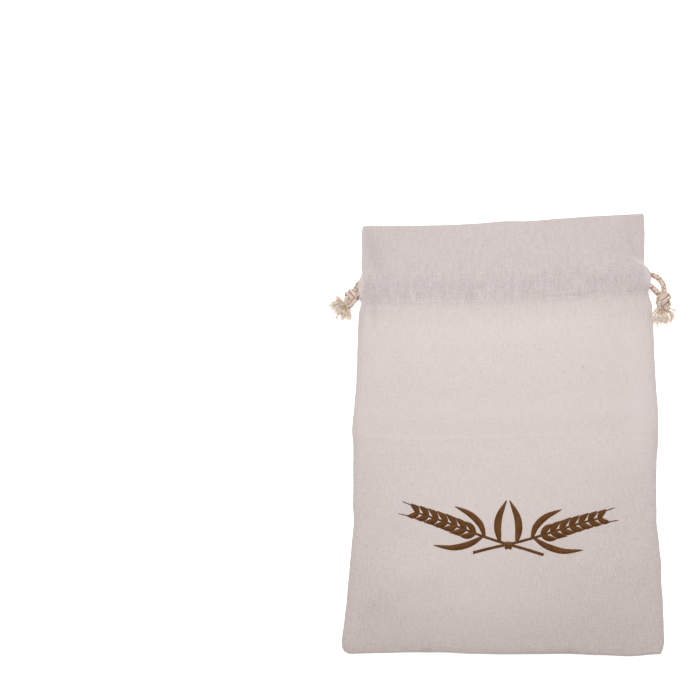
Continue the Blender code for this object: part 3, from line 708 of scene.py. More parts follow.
# %% Sew the rows
STITCH_PITCH, STITCH_LENGTH, STITCH_RADIUS = 3.0, 2.2, 0.24
STITCH_END_INSET, STITCH_SLANT = 2.0, 0.16
STITCH_ARCH = ((0.0, -0.30), (0.16, 0.10), (0.5, 0.17), (0.84, 0.10), (1.0, -0.30))   # share of length, height
FRONT, BACK = (front_middle, 1), (back_middle, -1)   # a sheet's middle, and the way its outer face looks
BACK_RISE, BACK_THIN = 0.5, 0.8      # the back's stitches are pressed flatter, and thinner


def cloth_face(sheet_side, u, v):
    """A point of a sheet's outer face."""
    middle, outward = sheet_side
    x, y, true_u, row = plan(u, v)
    return Vector((x + wobble(v, true_u), y, middle(true_u, v, x, y, row) + outward * CLOTH / 2))


def sewn_row(sheet_side, v, rng, fullness=1.0, rise=1.0):
    """Stitches along the line v, on a sheet's outer face."""
    row = row_at(v)
    width = row["right_x"] - row["left_x"]
    count = int((width - 2 * STITCH_END_INSET) / STITCH_PITCH)
    lines = []
    for k in range(count):
        start = STITCH_END_INSET + k * STITCH_PITCH + rng.uniform(-0.12, 0.12)
        off, thick = rng.uniform(-0.2, 0.2), rng.uniform(0.4, 1.2) * fullness
        line = []
        for share, lift in STITCH_ARCH:
            u = 2 * (start + share * STITCH_LENGTH) / width - 1
            spot = cloth_face(sheet_side, u, v + off + (share - 0.5) * STITCH_SLANT)
            line.append((spot.x, spot.y, spot.z + sheet_side[1] * rise * lift, thick))
        lines.append(line)
    return lines


rng = random.Random(11)
front_stitches = tubes("front_stitches", sewn_row(FRONT, LOWER_STITCH, rng, 0.9)
                       + sewn_row(FRONT, UPPER_STITCH, rng, 0.68), STITCH_RADIUS)
back_stitches = tubes("back_stitches", sewn_row(BACK, LOWER_STITCH, rng, rise=BACK_RISE)
                      + sewn_row(BACK, UPPER_STITCH, rng, rise=BACK_RISE), STITCH_RADIUS * BACK_THIN)

# %% [markdown]
# ## The knots
#
# The two ends of a cord are tied together in one overhand knot. From outside it is a short barrel: the doubled
# cord winds round itself and dives back in at both ends. The same plies are wound again, on a tighter route.

# %% Tie the knots
# swell: width of the band round the knot, as a share of the knot's width. start: the angle where it begins.
# lean, slide, shift: how the band is turned and moved. spread: how far apart the cords lie above and below it.
# neck: how far apart and how far out the cords enter. hollow: where a painted shadow marks a dark gap between two
# turns.
Knot = namedtuple("Knot", "side x y axis_x axis_y length width swell start lean slide shift spread neck hollow")
KNOTS = (
    Knot("left",  -135.7, 315.2, -0.54, -0.84, 17.2, 13.6, 0.97, -130.0, -17.0, -0.8, -1.5, 1.20,
         neck=(0.7, 0.2), hollow=None),
    Knot("right",  147.8, 310.9, -0.10, -0.99, 13.2, 13.8, 1.02, -140.0,  40.0, -1.5,  0.0, 1.45,
         neck=(1.4, 0.8), hollow=(150.4, 308.3)),
)
BAND_TURNS, BAND_RISE = 1.3, 3.2     # how often the band goes round, and how far along the knot
BAND_TUCK = 0.45                     # how far the band's ends dive in, as a share of its radius
KNOT_PITCH = 42.0                    # the plies are pulled nearly straight in a knot
KNOT_CORD = 0.88                     # a cord's thickness in a tight knot, as a share of its free thickness
KNOT_PLY, KNOT_OFFSET = 1.40, 0.70   # a ply's radius there, and its distance from the cord's line
KNOT_REST = 0.05                     # space between a knot and the table
KNOT_LANE = 1.9                      # half the distance between the two cords that lie side by side
WRAP_STEPS = 14
CORE_MARGIN, CORE_END = 2.2, 0.6     # the ball in a knot is this much smaller, across and at each end
HOLLOW_REACH, HOLLOW_HEIGHT, HOLLOW_SHADOW = 2.3, 7.0, 3.5   # the painted shadow's radius, its lowest height, and its darkness


def knot_turns(spec, lane):
    """The line of one of the two cords in the band. The knot lies along +Z and is looked at down -Y."""
    wind = spec.width / 2 * spec.swell - CORD / 2 * KNOT_CORD
    lean = Matrix.Translation((spec.shift, 0, spec.slide)) @ Matrix.Rotation(math.radians(spec.lean), 4, "Y")
    points = []
    for k in range(WRAP_STEPS + 1):
        t = k / WRAP_STEPS
        angle = math.radians(spec.start) + math.tau * BAND_TURNS * t
        tuck = 1 - BAND_TUCK * abs(2 * t - 1) ** 8
        points.append(lean @ Vector((wind * tuck * math.cos(angle), wind * tuck * math.sin(angle),
                                     BAND_RISE * (t - 0.5) + lane * KNOT_LANE)))
    return points


def knot_ends(spec, lane):
    """The parts of a cord that go into the knot above the band and come out below it."""
    half, top = spec.length / 2, spec.width / 2 - CORD / 2 * KNOT_CORD
    lane *= spec.spread
    out = [(lane * 1.2, 0.2 * top, -1.0), (lane * 2.7, 0.66 * top, 1.5), (lane * 3.1, 0.72 * top, half * 0.45),
           (lane * 2.7, 0.40 * top, half * 0.75), (lane * 1.6, 0.0, half + 0.2)]
    apart, reach = spec.neck
    into = [(lane * apart, 0.1 * top, -half - reach), (lane * (apart + 1.2), 0.35 * top, -half * 0.8),
            (lane * 2.6, 0.6 * top, -half * 0.4), (lane * 1.2, 0.3 * top, 0.5)]
    return [Vector(point) for point in out], [Vector(point) for point in into]


def knot_place(spec):
    """The turn and place of a knot whose line is +Z."""
    turn = Vector((spec.axis_x, spec.axis_y, 0)).normalized().to_track_quat("Z", "Y").to_matrix()
    return Matrix.Translation((spec.x, spec.y, spec.width / 2 + KNOT_REST)) @ turn.to_4x4()


def paint_hollow_shadow(piece, middle):
    """Paint a dark shadow on the line between two cords at this place of the floor plan, so that it reads as a small
    hollow.
    """
    for vert, groove in zip(piece.data.vertices, piece.data.attributes["groove"].data):
        near = 1 - (vert.co - middle).xy.length / (HOLLOW_REACH * MM)
        if near > 0 and vert.co.z > HOLLOW_HEIGHT * MM:
            groove.value += HOLLOW_SHADOW * near * soft_step(groove.value / 0.25 - 0.4)


def tie(spec):
    """The whole knot: two cords in the band, the cords above and below it, and a ball that fills the middle."""
    place = knot_place(spec)
    lines, routes = [], []
    for lane in (-1, 1):
        for part in (knot_turns(spec, lane), *knot_ends(spec, lane)):
            routes.append([place @ point for point in part])
            lines += wound(routes[-1], KNOT_OFFSET, lane * 0.8, KNOT_PITCH)
    piece = tubes("knot_turns_" + spec.side, lines, KNOT_PLY, 2)
    bm = bmesh.new()
    bm.from_mesh(piece.data)
    core = spec.width / 2 - CORE_MARGIN
    ball = Matrix.Diagonal((core, core, spec.length / 2 - CORE_END, 1))
    world = Matrix.Translation(placed(0, 0, 0)) @ Matrix.Scale(MM, 4)
    bmesh.ops.create_uvsphere(bm, u_segments=20, v_segments=12, radius=1.0, matrix=world @ place @ ball)
    bm.to_mesh(piece.data)
    bm.free()
    piece.data.shade_smooth()
    mark_grooves(piece, routes, KNOT_PLY + KNOT_OFFSET)
    # a painted shadow in the knot's gap
    if spec.hollow:
        paint_hollow_shadow(piece, placed(*spec.hollow, 0))
    return piece


knots = {spec.side: tie(spec) for spec in KNOTS}

# %% [markdown]
# ## The frayed ends
#
# Below each knot the plies come apart into soft tufts. A tuft is about a dozen thin fibres that share one line,
# spread towards their tips and keep the wave of the twist. A few thin wisps stray further.

# %% Fray the ends
# fan: degrees from the middle tuft to the outermost. shorter: how much shorter the last tuft of a layer is.
# spread, loose: how far a tuft's fibres lie apart, and stray at its tip. curl, pace: size and length of its waves.
Tassel = namedtuple("Tassel", "side x y way_x way_y length fan spacing shorter spread loose curl pace seed")
TASSELS = (
    Tassel("left",  -142.6, 307.6, -0.70, -0.71, 13.2, 44.0, 1.25, 0.20, 0.62, 1.3, 1.2, 7.0, 5),
    Tassel("right",  146.5, 303.4, -0.08, -1.00, 13.6,  3.0, 1.65, 0.00, 0.42, 0.6, 1.1, 6.0, 9),
)
# A stray wisp goes to x, y and z, with a bow to one side.
Stray = namedtuple("Stray", "side x y z bow count spread")
STRAYS = (
    Stray("left",  -150.5, 292.7, 1.5,  2.5, 12, 0.5), Stray("left",  -139.6, 296.8, 2.5, -2.0, 10, 0.4),
    Stray("left",  -138.4, 299.6, 3.5, -1.5, 10, 0.4), Stray("left",  -158.0, 309.0, 3.0,  1.0,  8, 0.5),
    Stray("left",  -144.5, 294.6, 2.0,  1.5, 12, 0.6), Stray("left",  -149.6, 315.6, 4.5, -0.6, 60, 2.4),
    Stray("right",  159.5, 301.6, 4.0, -2.0, 24, 0.6), Stray("right",  157.0, 297.0, 3.0, -3.4, 28, 0.8),
    Stray("right",  153.6, 292.6, 2.0, -4.0, 24, 0.7), Stray("right",  155.0, 294.8, 5.0, -3.4, 24, 0.7),
    Stray("right",  138.0, 292.6, 2.0, -1.2, 10, 0.4), Stray("right",  143.0, 287.6, 1.0,  0.8, 10, 0.4),
)
HEAD_RADIUS, HEAD_LENGTH, HEAD_REST = 4.3, 3.2, 1.2   # the bundle that leaves a knot, and its room to the table
TUFT_COLUMNS, TUFT_LAYERS = 9, 4
HALF_ACROSS = (TUFT_COLUMNS - 1) / 2
LAYER_SPACING = 1.7                  # from one layer of tufts to the next at the knot
FLOOR_REST, FLOOR_LAYER = 0.7, 1.25  # at their tips: height of the lowest layer, and from one to the next
TUFT_SPREAD, FLOOR_SHARE = 0.12, 0.8   # uneven turning of the tufts, and the share of one that sinks to the table
TUFT_POINTS, FIBRE_POINTS, STRAY_STEPS = 13, 13, 8
FIBRES, FIBRE, TUFT_TWIST = 11, 0.12, 6.5   # fibres in a tuft, a fibre's radius, length of one turn of it
FIBRE_TIP, TIP_SHARE = 0.55, 0.85    # how thin a fibre's tip is, and where the tip begins
KINK, KINK_LENGTH = 0.28, 3.4        # how far and how often a single fibre wavers
STRAY_LOOSE = 0.3                    # strays get the painted brown shade of the fibres near the knot
STRAY_REACH = 1.15                   # its line goes on past its place, because its fibres end early


def layer_height(layer):
    """How high a layer of tufts leaves the knot, from the bundle's middle."""
    return (layer - (TUFT_LAYERS - 1) / 2) * LAYER_SPACING


def tuft_line(spec, across, layer, length, rng):
    """The middle line of a tuft: out of the knot, down to the floor, fanned out and curled."""
    way = Vector((spec.way_x, spec.way_y, 0)).normalized()
    side = Vector((-way.y, way.x, 0))
    turned = math.radians(spec.fan) * across / HALF_ACROSS + rng.uniform(-TUFT_SPREAD, TUFT_SPREAD)
    start, rest = HEAD_RADIUS + HEAD_REST + layer_height(layer), FLOOR_REST + layer * FLOOR_LAYER
    phase, pace = rng.uniform(0, math.tau), spec.pace * rng.uniform(0.75, 1.3)
    points = []
    for k in range(TUFT_POINTS):
        t = k / (TUFT_POINTS - 1)
        drop = min(1.0, t / FLOOR_SHARE) ** 0.8
        angle = phase + math.tau * t * length / pace
        curl = spec.curl * min(1.0, 2.2 * t) * math.sin(angle)
        spot = Vector((spec.x, spec.y, 0)) + way * (t * length * math.cos(turned) - HEAD_LENGTH * 0.6)
        spacing = spec.spacing * (0.65 + 0.35 * min(1.0, 4 * t))
        spot += side * (across * spacing + t * length * math.sin(turned) + curl * math.cos(turned))
        spot.z = start * (1 - drop) + rest * drop + 0.5 * spec.curl * min(1.0, 2 * t) * math.cos(angle)
        points.append(spot)
    return points


def fibres_of(line, rng, count, spread, loose):
    """Fibres that wind round one line and come apart towards its tip."""
    dense, reach = smooth_route(line)
    lines = []
    for _ in range(count):
        phase, out = rng.uniform(0, math.tau), spread * math.sqrt(rng.uniform(0.1, 1.0))
        length, twist = rng.uniform(0.80, 1.0), TUFT_TWIST * rng.uniform(0.85, 1.2)
        drift = Vector((rng.uniform(-1, 1), rng.uniform(-1, 1), rng.uniform(-0.6, 0.6))) * loose
        fibre = []
        for k in range(FIBRE_POINTS):
            t = k / (FIBRE_POINTS - 1)
            gone = reach[-1] * t * length
            angle, kink = phase + math.tau * gone / twist, phase * 3 + math.tau * gone / KINK_LENGTH
            spot = point_along(dense, reach, gone)
            spot += Vector((math.cos(angle), math.sin(angle + phase), math.sin(angle))) * out * (0.7 + 0.5 * t)
            spot += Vector((math.cos(kink), math.sin(kink), 0)) * KINK * loose * t + drift * t * t
            spot.z = max(spot.z, FIBRE)
            fibre.append((*spot, 1.0 if t < TIP_SHARE else FIBRE_TIP))
        lines.append(fibre)
    return lines


def stray_line(spec, stray, rng):
    """A thin wisp from the knot to its own place, bent to one side."""
    root = Vector((spec.x, spec.y, HEAD_RADIUS))
    tip = Vector((stray.x, stray.y, stray.z))
    across = (tip - root).cross(Vector((0, 0, 1))).normalized()
    root += across * rng.uniform(-2.0, 2.0)
    return [root + (tip - root) * STRAY_REACH * t + across * stray.bow * math.sin(math.pi * t)
            for t in (k / STRAY_STEPS for k in range(STRAY_STEPS + 1))]


def fray(spec):
    """All fibres of one end: tufts in layers, as far as they fit the round bundle, and the strays."""
    rng = random.Random(spec.seed)
    lines = []
    for layer in range(TUFT_LAYERS):
        for column in range(TUFT_COLUMNS):
            across = column - HALF_ACROSS
            if math.hypot(across, layer_height(layer)) > HEAD_RADIUS:
                continue
            length = (spec.length + HEAD_LENGTH * 0.9) * rng.uniform(0.72, 1.0)
            length *= 1 - spec.shorter * max(0.0, across / HALF_ACROSS)
            line = tuft_line(spec, across, layer, length, rng)
            lines += fibres_of(line, rng, FIBRES, spec.spread, spec.loose)
    in_tufts = len(lines)
    for stray in STRAYS:
        if stray.side == spec.side:
            lines += fibres_of(stray_line(spec, stray, rng), rng, stray.count, stray.spread, 0.5)
    piece = tubes("frayed_end_" + spec.side, lines, FIBRE, 0)
    root = placed(spec.x, spec.y, HEAD_RADIUS + HEAD_REST)
    last = len(piece.data.vertices) * in_tufts // len(lines)
    store(piece, "loose", [(vert.co - root).length / (spec.length * MM) if vert.index < last else STRAY_LOOSE
                           for vert in piece.data.vertices])
    return piece


frayed = {spec.side: fray(spec) for spec in TASSELS}

# %% [markdown]
# ## The embroidery
#
# The front carries a plain sprig in brown satin stitch: two crossed ears of wheat. Satin stitch is nothing but
# threads laid close together from one edge of a shape to the other, so that is how it is made here. Every shape is
# a middle line and a width along it, and the threads take their height from the cloth below them.

# %% Satin stitch
THREAD_PITCH, THREAD_RADIUS, THREAD_LOOK = 0.43, 0.235, 0.4
THREAD_DIVE, THREAD_TOP = -0.25, 0.95   # height of a thread's ends, and the greatest height of its middle
SHOULDER, SHOULDER_HEIGHT = 0.72, 0.62   # where a thread bends down, and how high it is there
ROW_SPREAD = 0.18                    # how uneven the threads' ends are
MOTIF_X, MOTIF_Y, MOTIF_TURN = 2.3, 106.0, math.radians(-1.2)


def cloth_uv(x, y):
    """The point of the cloth, as u and v, that lies at x and y on the floor."""
    u, v = 0.0, y
    for _ in range(5):
        row = row_at(v)
        share = (x - row["left_x"]) / (row["right_x"] - row["left_x"])
        u = 2 * share - 1
        v += y - (row["left_y"] + (row["right_y"] - row["left_y"]) * share - row["sag"] * (1 - u * u))
    return u, v


def on_front(x, y, lift):
    """A point of the motif, lift above the front cloth."""
    turned = (MOTIF_X + x * math.cos(MOTIF_TURN) - y * math.sin(MOTIF_TURN),
              MOTIF_Y + x * math.sin(MOTIF_TURN) + y * math.cos(MOTIF_TURN))
    u, v = cloth_uv(*turned)
    return (*turned, cloth_face(FRONT, u, v).z + lift)


def satin(line, width_at, slant, rng, fullness=0.36):
    """Threads from edge to edge of the shape that has this middle line and width."""
    dense, reach = smooth_route([(x, y, 0) for x, y in line])
    count = max(round(reach[-1] / THREAD_PITCH), 2)
    threads = []
    for k in range(count + 1):
        distance = reach[-1] * k / count
        here = point_along(dense, reach, distance)
        along = direction(dense, reach, distance, THREAD_LOOK)
        width = max(width_at(k / count), 0.5) + rng.uniform(-ROW_SPREAD, ROW_SPREAD)
        half = (Vector((-along.y, along.x, 0)) + along * slant) * width / 2
        height = min(THREAD_TOP, fullness * width)
        arch = (THREAD_DIVE, SHOULDER_HEIGHT * height, height, SHOULDER_HEIGHT * height, THREAD_DIVE)
        spots = [here + half * t for t in (-1.0, -SHOULDER, 0.0, SHOULDER, 1.0)]
        threads.append([on_front(spot.x, spot.y, lift) for spot, lift in zip(spots, arch)])
    return threads


# %% Draw the wheat sprigs
STEM = ((-30.0, -22.0), (-14.0, -17.5), (6.0, -12.5), (26.0, -6.5), (46.0, 0.5), (66.0, 7.0), (80.0, 11.0))
EAR_START, EAR_END, GRAIN_PAIRS = 0.52, 0.97, 7
GRAIN_LENGTH, GRAIN_WIDTH, GRAIN_ANGLE = 13.5, 5.4, math.radians(33)
AWN_LENGTH, AWN_WIDTH = 9.0, 0.95    # the hair at a grain's tip
STEM_WIDTH, HEADING_LOOK, TIP_GRAIN = 2.5, 0.02, 0.22   # the last grains are smaller by this share
Leaf = namedtuple("Leaf", "name points width")
LEAVES = (
    Leaf("upper", ((7.0, -12.0), (9.0, 0.0), (7.5, 11.0), (1.5, 23.5)), 6.6),
    Leaf("lower", ((22.0, -8.0), (34.0, -15.0), (48.0, -18.5), (64.0, -17.0)), 5.6),
    Leaf("middle", ((20.0, -8.2), (24.0, 2.0), (33.0, 10.5), (46.0, 17.0)), 5.8),
)


def mirrored(line, side):
    return [(side * x, y) for x, y in line]


def grain_width(t):
    return GRAIN_WIDTH * math.sin(math.pi * (0.06 + 0.90 * t) ** 0.85) ** 0.75


def leaf_width(width):
    return lambda t: width * math.sin(math.pi * (0.04 + 0.93 * t) ** 0.8) ** 0.9


def sprig(side, rng):
    """One ear of wheat with its stem and leaves."""
    threads = satin(mirrored(STEM, side), lambda t: STEM_WIDTH * (1 - 0.35 * t), 0.25, rng)
    dense, reach = smooth_route([(x, y, 0) for x, y in STEM])
    for k in range(GRAIN_PAIRS):
        up_ear = k / (GRAIN_PAIRS - 1)
        place = (EAR_START + (EAR_END - EAR_START) * up_ear) * reach[-1]
        root = point_along(dense, reach, place)
        along = direction(dense, reach, place, HEADING_LOOK * reach[-1])
        size = 1.0 - TIP_GRAIN * up_ear
        for way in (-1, 1):
            out = Matrix.Rotation(way * GRAIN_ANGLE, 3, "Z") @ along
            tip = root + (out * 0.85 + along * 0.2) * GRAIN_LENGTH * size
            line = [tuple(spot.xy) for spot in (root + out * 1.3, root + out * GRAIN_LENGTH * 0.55 * size, tip)]
            threads += satin(mirrored(line, side), grain_width, 0.35 * way * side, rng)
            hair = [tuple((tip + along * AWN_LENGTH * s * size + out * 1.2 * s).xy) for s in (0.0, 0.5, 1.0)]
            threads += satin(mirrored(hair, side), lambda t: AWN_WIDTH * (1 - 0.5 * t), 0.4, rng)
    for leaf in LEAVES:
        threads += satin(mirrored(leaf.points, side), leaf_width(leaf.width), 0.55 * side, rng)
    return threads


rng = random.Random(23)
threads = sprig(1, rng) + sprig(-1, rng)
threads += satin(((-3.2, -15.6), (0.0, -14.6), (3.2, -15.6)), lambda t: 6.6, 0.0, rng, 0.3)
embroidery = tubes("embroidery", threads, THREAD_RADIUS, 0)

# %% [markdown]
# ## The finishes
#
# A finish is a small network of nodes. Written as sums on sockets it reads like the formula that it is, so one
# small class wraps a socket, and its operators add the Math nodes.

# %% A workbench for finishes
class Value:
    """An output socket. Arithmetic on it adds Math nodes."""

    def __init__(self, finish, socket):
        self.finish, self.socket = finish, socket

    def math(self, operation, *others):
        return self.finish.node("ShaderNodeMath", {"operation": operation}, dict(enumerate((self, *others))))

    def __add__(self, other):
        return self.math("ADD", other)

    def __mul__(self, other):
        return self.math("MULTIPLY", other)

    def __sub__(self, other):
        return self.math("SUBTRACT", other)

    def __rsub__(self, other):
        return self.finish.node("ShaderNodeMath", {"operation": "SUBTRACT"}, {0: other, 1: self})

    __radd__, __rmul__ = __add__, __mul__

    def between(self, low, high):
        """0 below low, 1 above high, and a straight slope in between."""
        return self.finish.node("ShaderNodeMapRange", {"clamp": True}, {"Value": self, "From Min": low,
                                                                         "From Max": high})


class Finish:
    """A material that is put together in code."""

    def __init__(self, name):
        self.material = bpy.data.materials.new(name)
        self.material.use_nodes = True
        self.tree = self.material.node_tree
        self.shader = self.tree.nodes["Principled BSDF"]
        self.shader.inputs["Metallic"].default_value = 0.0

    def node(self, kind, settings=None, values=None, output=0):
        made = self.tree.nodes.new(kind)
        for name, setting in (settings or {}).items():
            setattr(made, name, setting)
        for name, value in (values or {}).items():
            self.feed(made.inputs[name], value)
        return Value(self, made.outputs[output])

    def feed(self, socket, value):
        if isinstance(value, Value):
            self.tree.links.new(value.socket, socket)
        else:
            socket.default_value = value

    def attribute(self, name, output=2):
        """What a mesh stores for each of its points: a number at output 2, a vector at output 1."""
        return self.node("ShaderNodeAttribute", {"attribute_name": name}, output=output)

    def noise(self, place, stretch, scale=1.0, detail=2.0, roughness=0.5):
        """Soft random spots. A larger stretch makes them finer in that direction."""
        place = self.node("ShaderNodeMapping", {}, {"Vector": place, "Scale": stretch})
        return self.node("ShaderNodeTexNoise", {}, {"Vector": place, "Scale": scale, "Detail": detail,
                                                    "Roughness": roughness})

    def spots(self, fineness, detail=2.0, roughness=0.5, along=None):
        """Noise in the piece's own coordinates, per metre. along is its fineness in height, if it differs."""
        place = self.node("ShaderNodeTexCoord", output="Object")
        return self.noise(place, (fineness, fineness, along or fineness), 1.0, detail, roughness)

    def mixed(self, share, first, second, blend="MIX"):
        """Two colours mixed. The Mix node has its sockets for colours at 6 and 7, and gives its colour at 2."""
        return self.node("ShaderNodeMix", {"data_type": "RGBA", "blend_type": blend, "clamp_factor": True},
                         {0: share, 6: first, 7: second}, output=2)

    def shaded(self, colour, roughness, height=None, depth=0.0001, strength=1.0, sheen=0.0):
        """Feed the shader. depth is the real depth of the relief in metres."""
        self.feed(self.shader.inputs["Base Color"], colour)
        self.feed(self.shader.inputs["Roughness"], roughness)
        self.shader.inputs["Sheen Weight"].default_value = sheen
        self.shader.inputs["Sheen Roughness"].default_value = 0.6
        if height is not None:
            relief = {"Height": height, "Distance": depth, "Strength": strength}
            self.feed(self.shader.inputs["Normal"], self.node("ShaderNodeBump", {}, relief))
        return self.material


# %% [markdown]
# ### Unbleached linen
#
# Plain weave: every other thread lies on top, both ways. The threads are uneven, so thick stretches show as pale
# or dark streaks up and across, and bits of husk show as tan flecks. The pattern has to follow the cloth, so it
# reads the `flat` attribute that each sheet carries: the place of every point on the cloth, in millimetres.
# Shade is also painted in: over the channel, in the gathers, below the lower stitches, at the bottom seam and along
# the sewn edges, with painted highlights on some folds and rims and a warmer tone where the lower body lies dimmer.

# %% Linen
THREAD_SPACING, THREAD_WANDER = 0.62, 1.4   # of the weave, in millimetres
LINEN = (0.660, 0.590, 0.576, 1.0)
LINEN_PALE, LINEN_DARK = (0.76, 0.70, 0.69, 1.0), (0.47, 0.40, 0.38, 1.0)
FLECK, DUST, TAN = (0.40, 0.26, 0.15, 1.0), (0.36, 0.33, 0.33, 1.0), (0.56, 0.44, 0.34, 1.0)
# The doubled cloth's own darker tone, which is also painted shade below the lower stitches; painted shade over the
# channel
DOUBLED_AND_SHADED, CHANNEL_SHADE = (0.845, 0.845, 0.868, 1.0), (0.955, 0.960, 0.985, 1.0)
WARM, COOL, STREAK = (0.70, 0.60, 0.53, 1.0), (0.63, 0.585, 0.61, 1.0), (0.50, 0.405, 0.345, 1.0)
# painted: a warmer tone where the lower body lies dimmer, and shade at the bottom seam
LOW_SHADE_TINT, SEAM_SHADE = (1.018, 0.994, 0.982, 1.0), (0.96, 0.955, 0.955, 1.0)
# painted shade of folds and edges, painted shade in the gathers, and the cloth's own clouds
SHADE, GATHER_SHADE, MOTTLE = (0.89, 0.885, 0.90, 1.0), (0.50, 0.445, 0.43, 1.0), (0.62, 0.54, 0.50, 1.0)


def linen():
    cloth = Finish("unbleached linen")
    flat = cloth.attribute("flat", 1)
    x = cloth.node("ShaderNodeSeparateXYZ", {}, {0: flat}, output=0)
    v = Value(cloth, x.socket.node.outputs[1])

    # The weave: where the two waves have the same sign one kind of thread lies on top, and elsewhere the other
    wander = cloth.noise(flat, (0.05, 0.05, 1.0)) * THREAD_WANDER
    across = ((x + wander) * (math.pi / THREAD_SPACING)).math("SINE")
    up = ((v + wander) * (math.pi / THREAD_SPACING)).math("SINE")
    over = (across * up).between(-0.25, 0.25)
    weave = over * across.math("ABSOLUTE") + (1 - over) * up.math("ABSOLUTE")

    # Uneven threads both ways, broad bands, clouds, grain, tan slubs, the gathers' painted shade and light, tints
    # and flecks
    upright = cloth.noise(flat, (1.2, 0.09, 1.0), 1.0, 3.0, 0.65)
    level = cloth.noise(flat, (0.13, 1.0, 3.0), 1.0, 3.0, 0.65)
    bands = cloth.noise(flat, (0.22, 0.03, 1.0), 1.0, 3.0, 0.6)
    mottle = cloth.noise(flat, (0.035, 0.03, 1.0), 1.0, 3.0)
    grain = cloth.noise(flat, (1.0, 1.0, 1.0), 0.75, 1.0, 0.6)
    tan = cloth.noise(flat, (1.0, 1.0, 7.0), 0.45, 2.0, 0.7)
    gathers = cloth.noise(flat, (0.24, 0.045, 1.0), 1.0, 3.0, 0.65)
    tint = cloth.noise(flat, (0.95, 0.32, 5.0), 1.0, 2.0, 0.6)
    husk = cloth.noise(flat, (0.55, 0.40, 5.0), 1.0, 1.0)
    specks = cloth.noise(flat, (0.36, 0.42, 9.0), 1.3, 1.0)

    # Where things are: how strongly the threads show, the doubled cloth with painted shade below its lower stitches,
    # the painted shade over the channel, and where the gathers get painted shade and light
    low, high = LOWER_STITCH, UPPER_STITCH
    vivid = 0.94 + 0.5 * v.between(low - 10, low) + 0.65 * v.between(190, 60)
    vivid = vivid + 0.7 * v.between(low - 4, low + 4) * v.between(high + 6, high - 2)
    # the doubled cloth, fading out below the lower stitches as painted shade
    doubled_and_shaded = (v + (gathers - 0.5) * 26).between(low - 24, low + 12)
    ragged = v + (gathers - 0.5) * 12
    # painted shade over the channel, with a ragged edge
    channel_shade = ragged.between(low + 1, low + 12) * ragged.between(high + 3, high - 10)
    # where the gathers get painted shade and painted light
    gather_shading = v.between(low - 8, low + 8) * v.between(high + 20, high - 6)
    shade = cloth.attribute("shade")

    colour = LINEN
    for pattern, start, end, share, towards in (
            (tint, 0.50, 0.70, 0.48, WARM),
            (tint, 0.50, 0.30, 0.52, COOL),
            (upright, 0.52, 0.74, 0.40 * vivid, LINEN_PALE),
            (upright, 0.47, 0.27, 0.40 * vivid, STREAK),
            (level, 0.53, 0.75, 0.28 * vivid, LINEN_PALE),
            (level, 0.46, 0.26, 0.28 * vivid, LINEN_DARK),
            (mottle, 0.30, 0.70, 0.16, MOTTLE),
            (grain, 0.50, 0.72, 0.22 * vivid, LINEN_DARK),
            (grain, 0.48, 0.28, 0.18 * vivid, LINEN_PALE),
            (tan, 0.58, 0.74, 0.50 * vivid, TAN),
            (husk, 0.705, 0.76, 0.5, FLECK),
            (specks, 0.755, 0.81, 0.5, DUST),
            (bands, 0.50, 0.75, 0.22 * doubled_and_shaded, TAN),
            # painted shade in the gathers' hollows, painted light on their ridges
            (gathers, 0.52, 0.74, 0.30 * gather_shading, GATHER_SHADE),
            (gathers, 0.46, 0.28, 0.34 * gather_shading, LINEN_PALE)):
        colour = cloth.mixed(pattern.between(start, end) * share, colour, towards)
    # multiplied in: the doubled cloth with painted shade below it, painted shade over the channel, a painted warm
    # tone low down, painted shade at the bottom seam, and the painted shade of folds and sewn edges
    for mask, dye in ((doubled_and_shaded, DOUBLED_AND_SHADED), (channel_shade, CHANNEL_SHADE), (v.between(130, 60), LOW_SHADE_TINT),
                      (v.between(20, 4), SEAM_SHADE), (shade.between(0, 1), SHADE)):
        colour = cloth.mixed(mask, colour, dye, "MULTIPLY")
    # painted highlights where the number is negative
    colour = cloth.mixed(shade.between(0, -1) * 0.35, colour, LINEN_PALE)

    height = weave * 0.5 + upright * 0.9 + level * 0.7 + grain * 0.5
    return cloth.shaded(colour, 0.93, height, 0.00022, 0.55, sheen=0.12)


linen_finish = linen()
print("linen:", len(linen_finish.node_tree.nodes), "nodes")

# %% [markdown]
# ### Cotton, frayed cotton and the sewing threads
#
# The cords are undyed cotton, a little warmer than the cloth, with painted shade between the plies, where two cords
# touch and on one strand's front end, and a painted shadow in a knot's gap. Loose fibres let more light through and
# look paler and yellower, with painted brown shade near the knot. The brown embroidery thread has a soft shine, so
# its roughness is lower.

# %% Cotton and thread
PALE_COTTON, DEEP_COTTON = (0.79, 0.712, 0.652, 1.0), (0.63, 0.513, 0.43, 1.0)
# brown of the specks, also painted shade on a front end; painted shade between plies; a near black painted shadow
WORN_AND_SHADED_COTTON, PLY_GROOVE_SHADE, GAP_SHADOW = (0.40, 0.24, 0.145, 1.0), (0.37, 0.20, 0.12, 1.0), (0.03, 0.025, 0.03, 1.0)
COTTON_SPOTS = 420.0                 # how fine the cotton's worn spots are, per metre


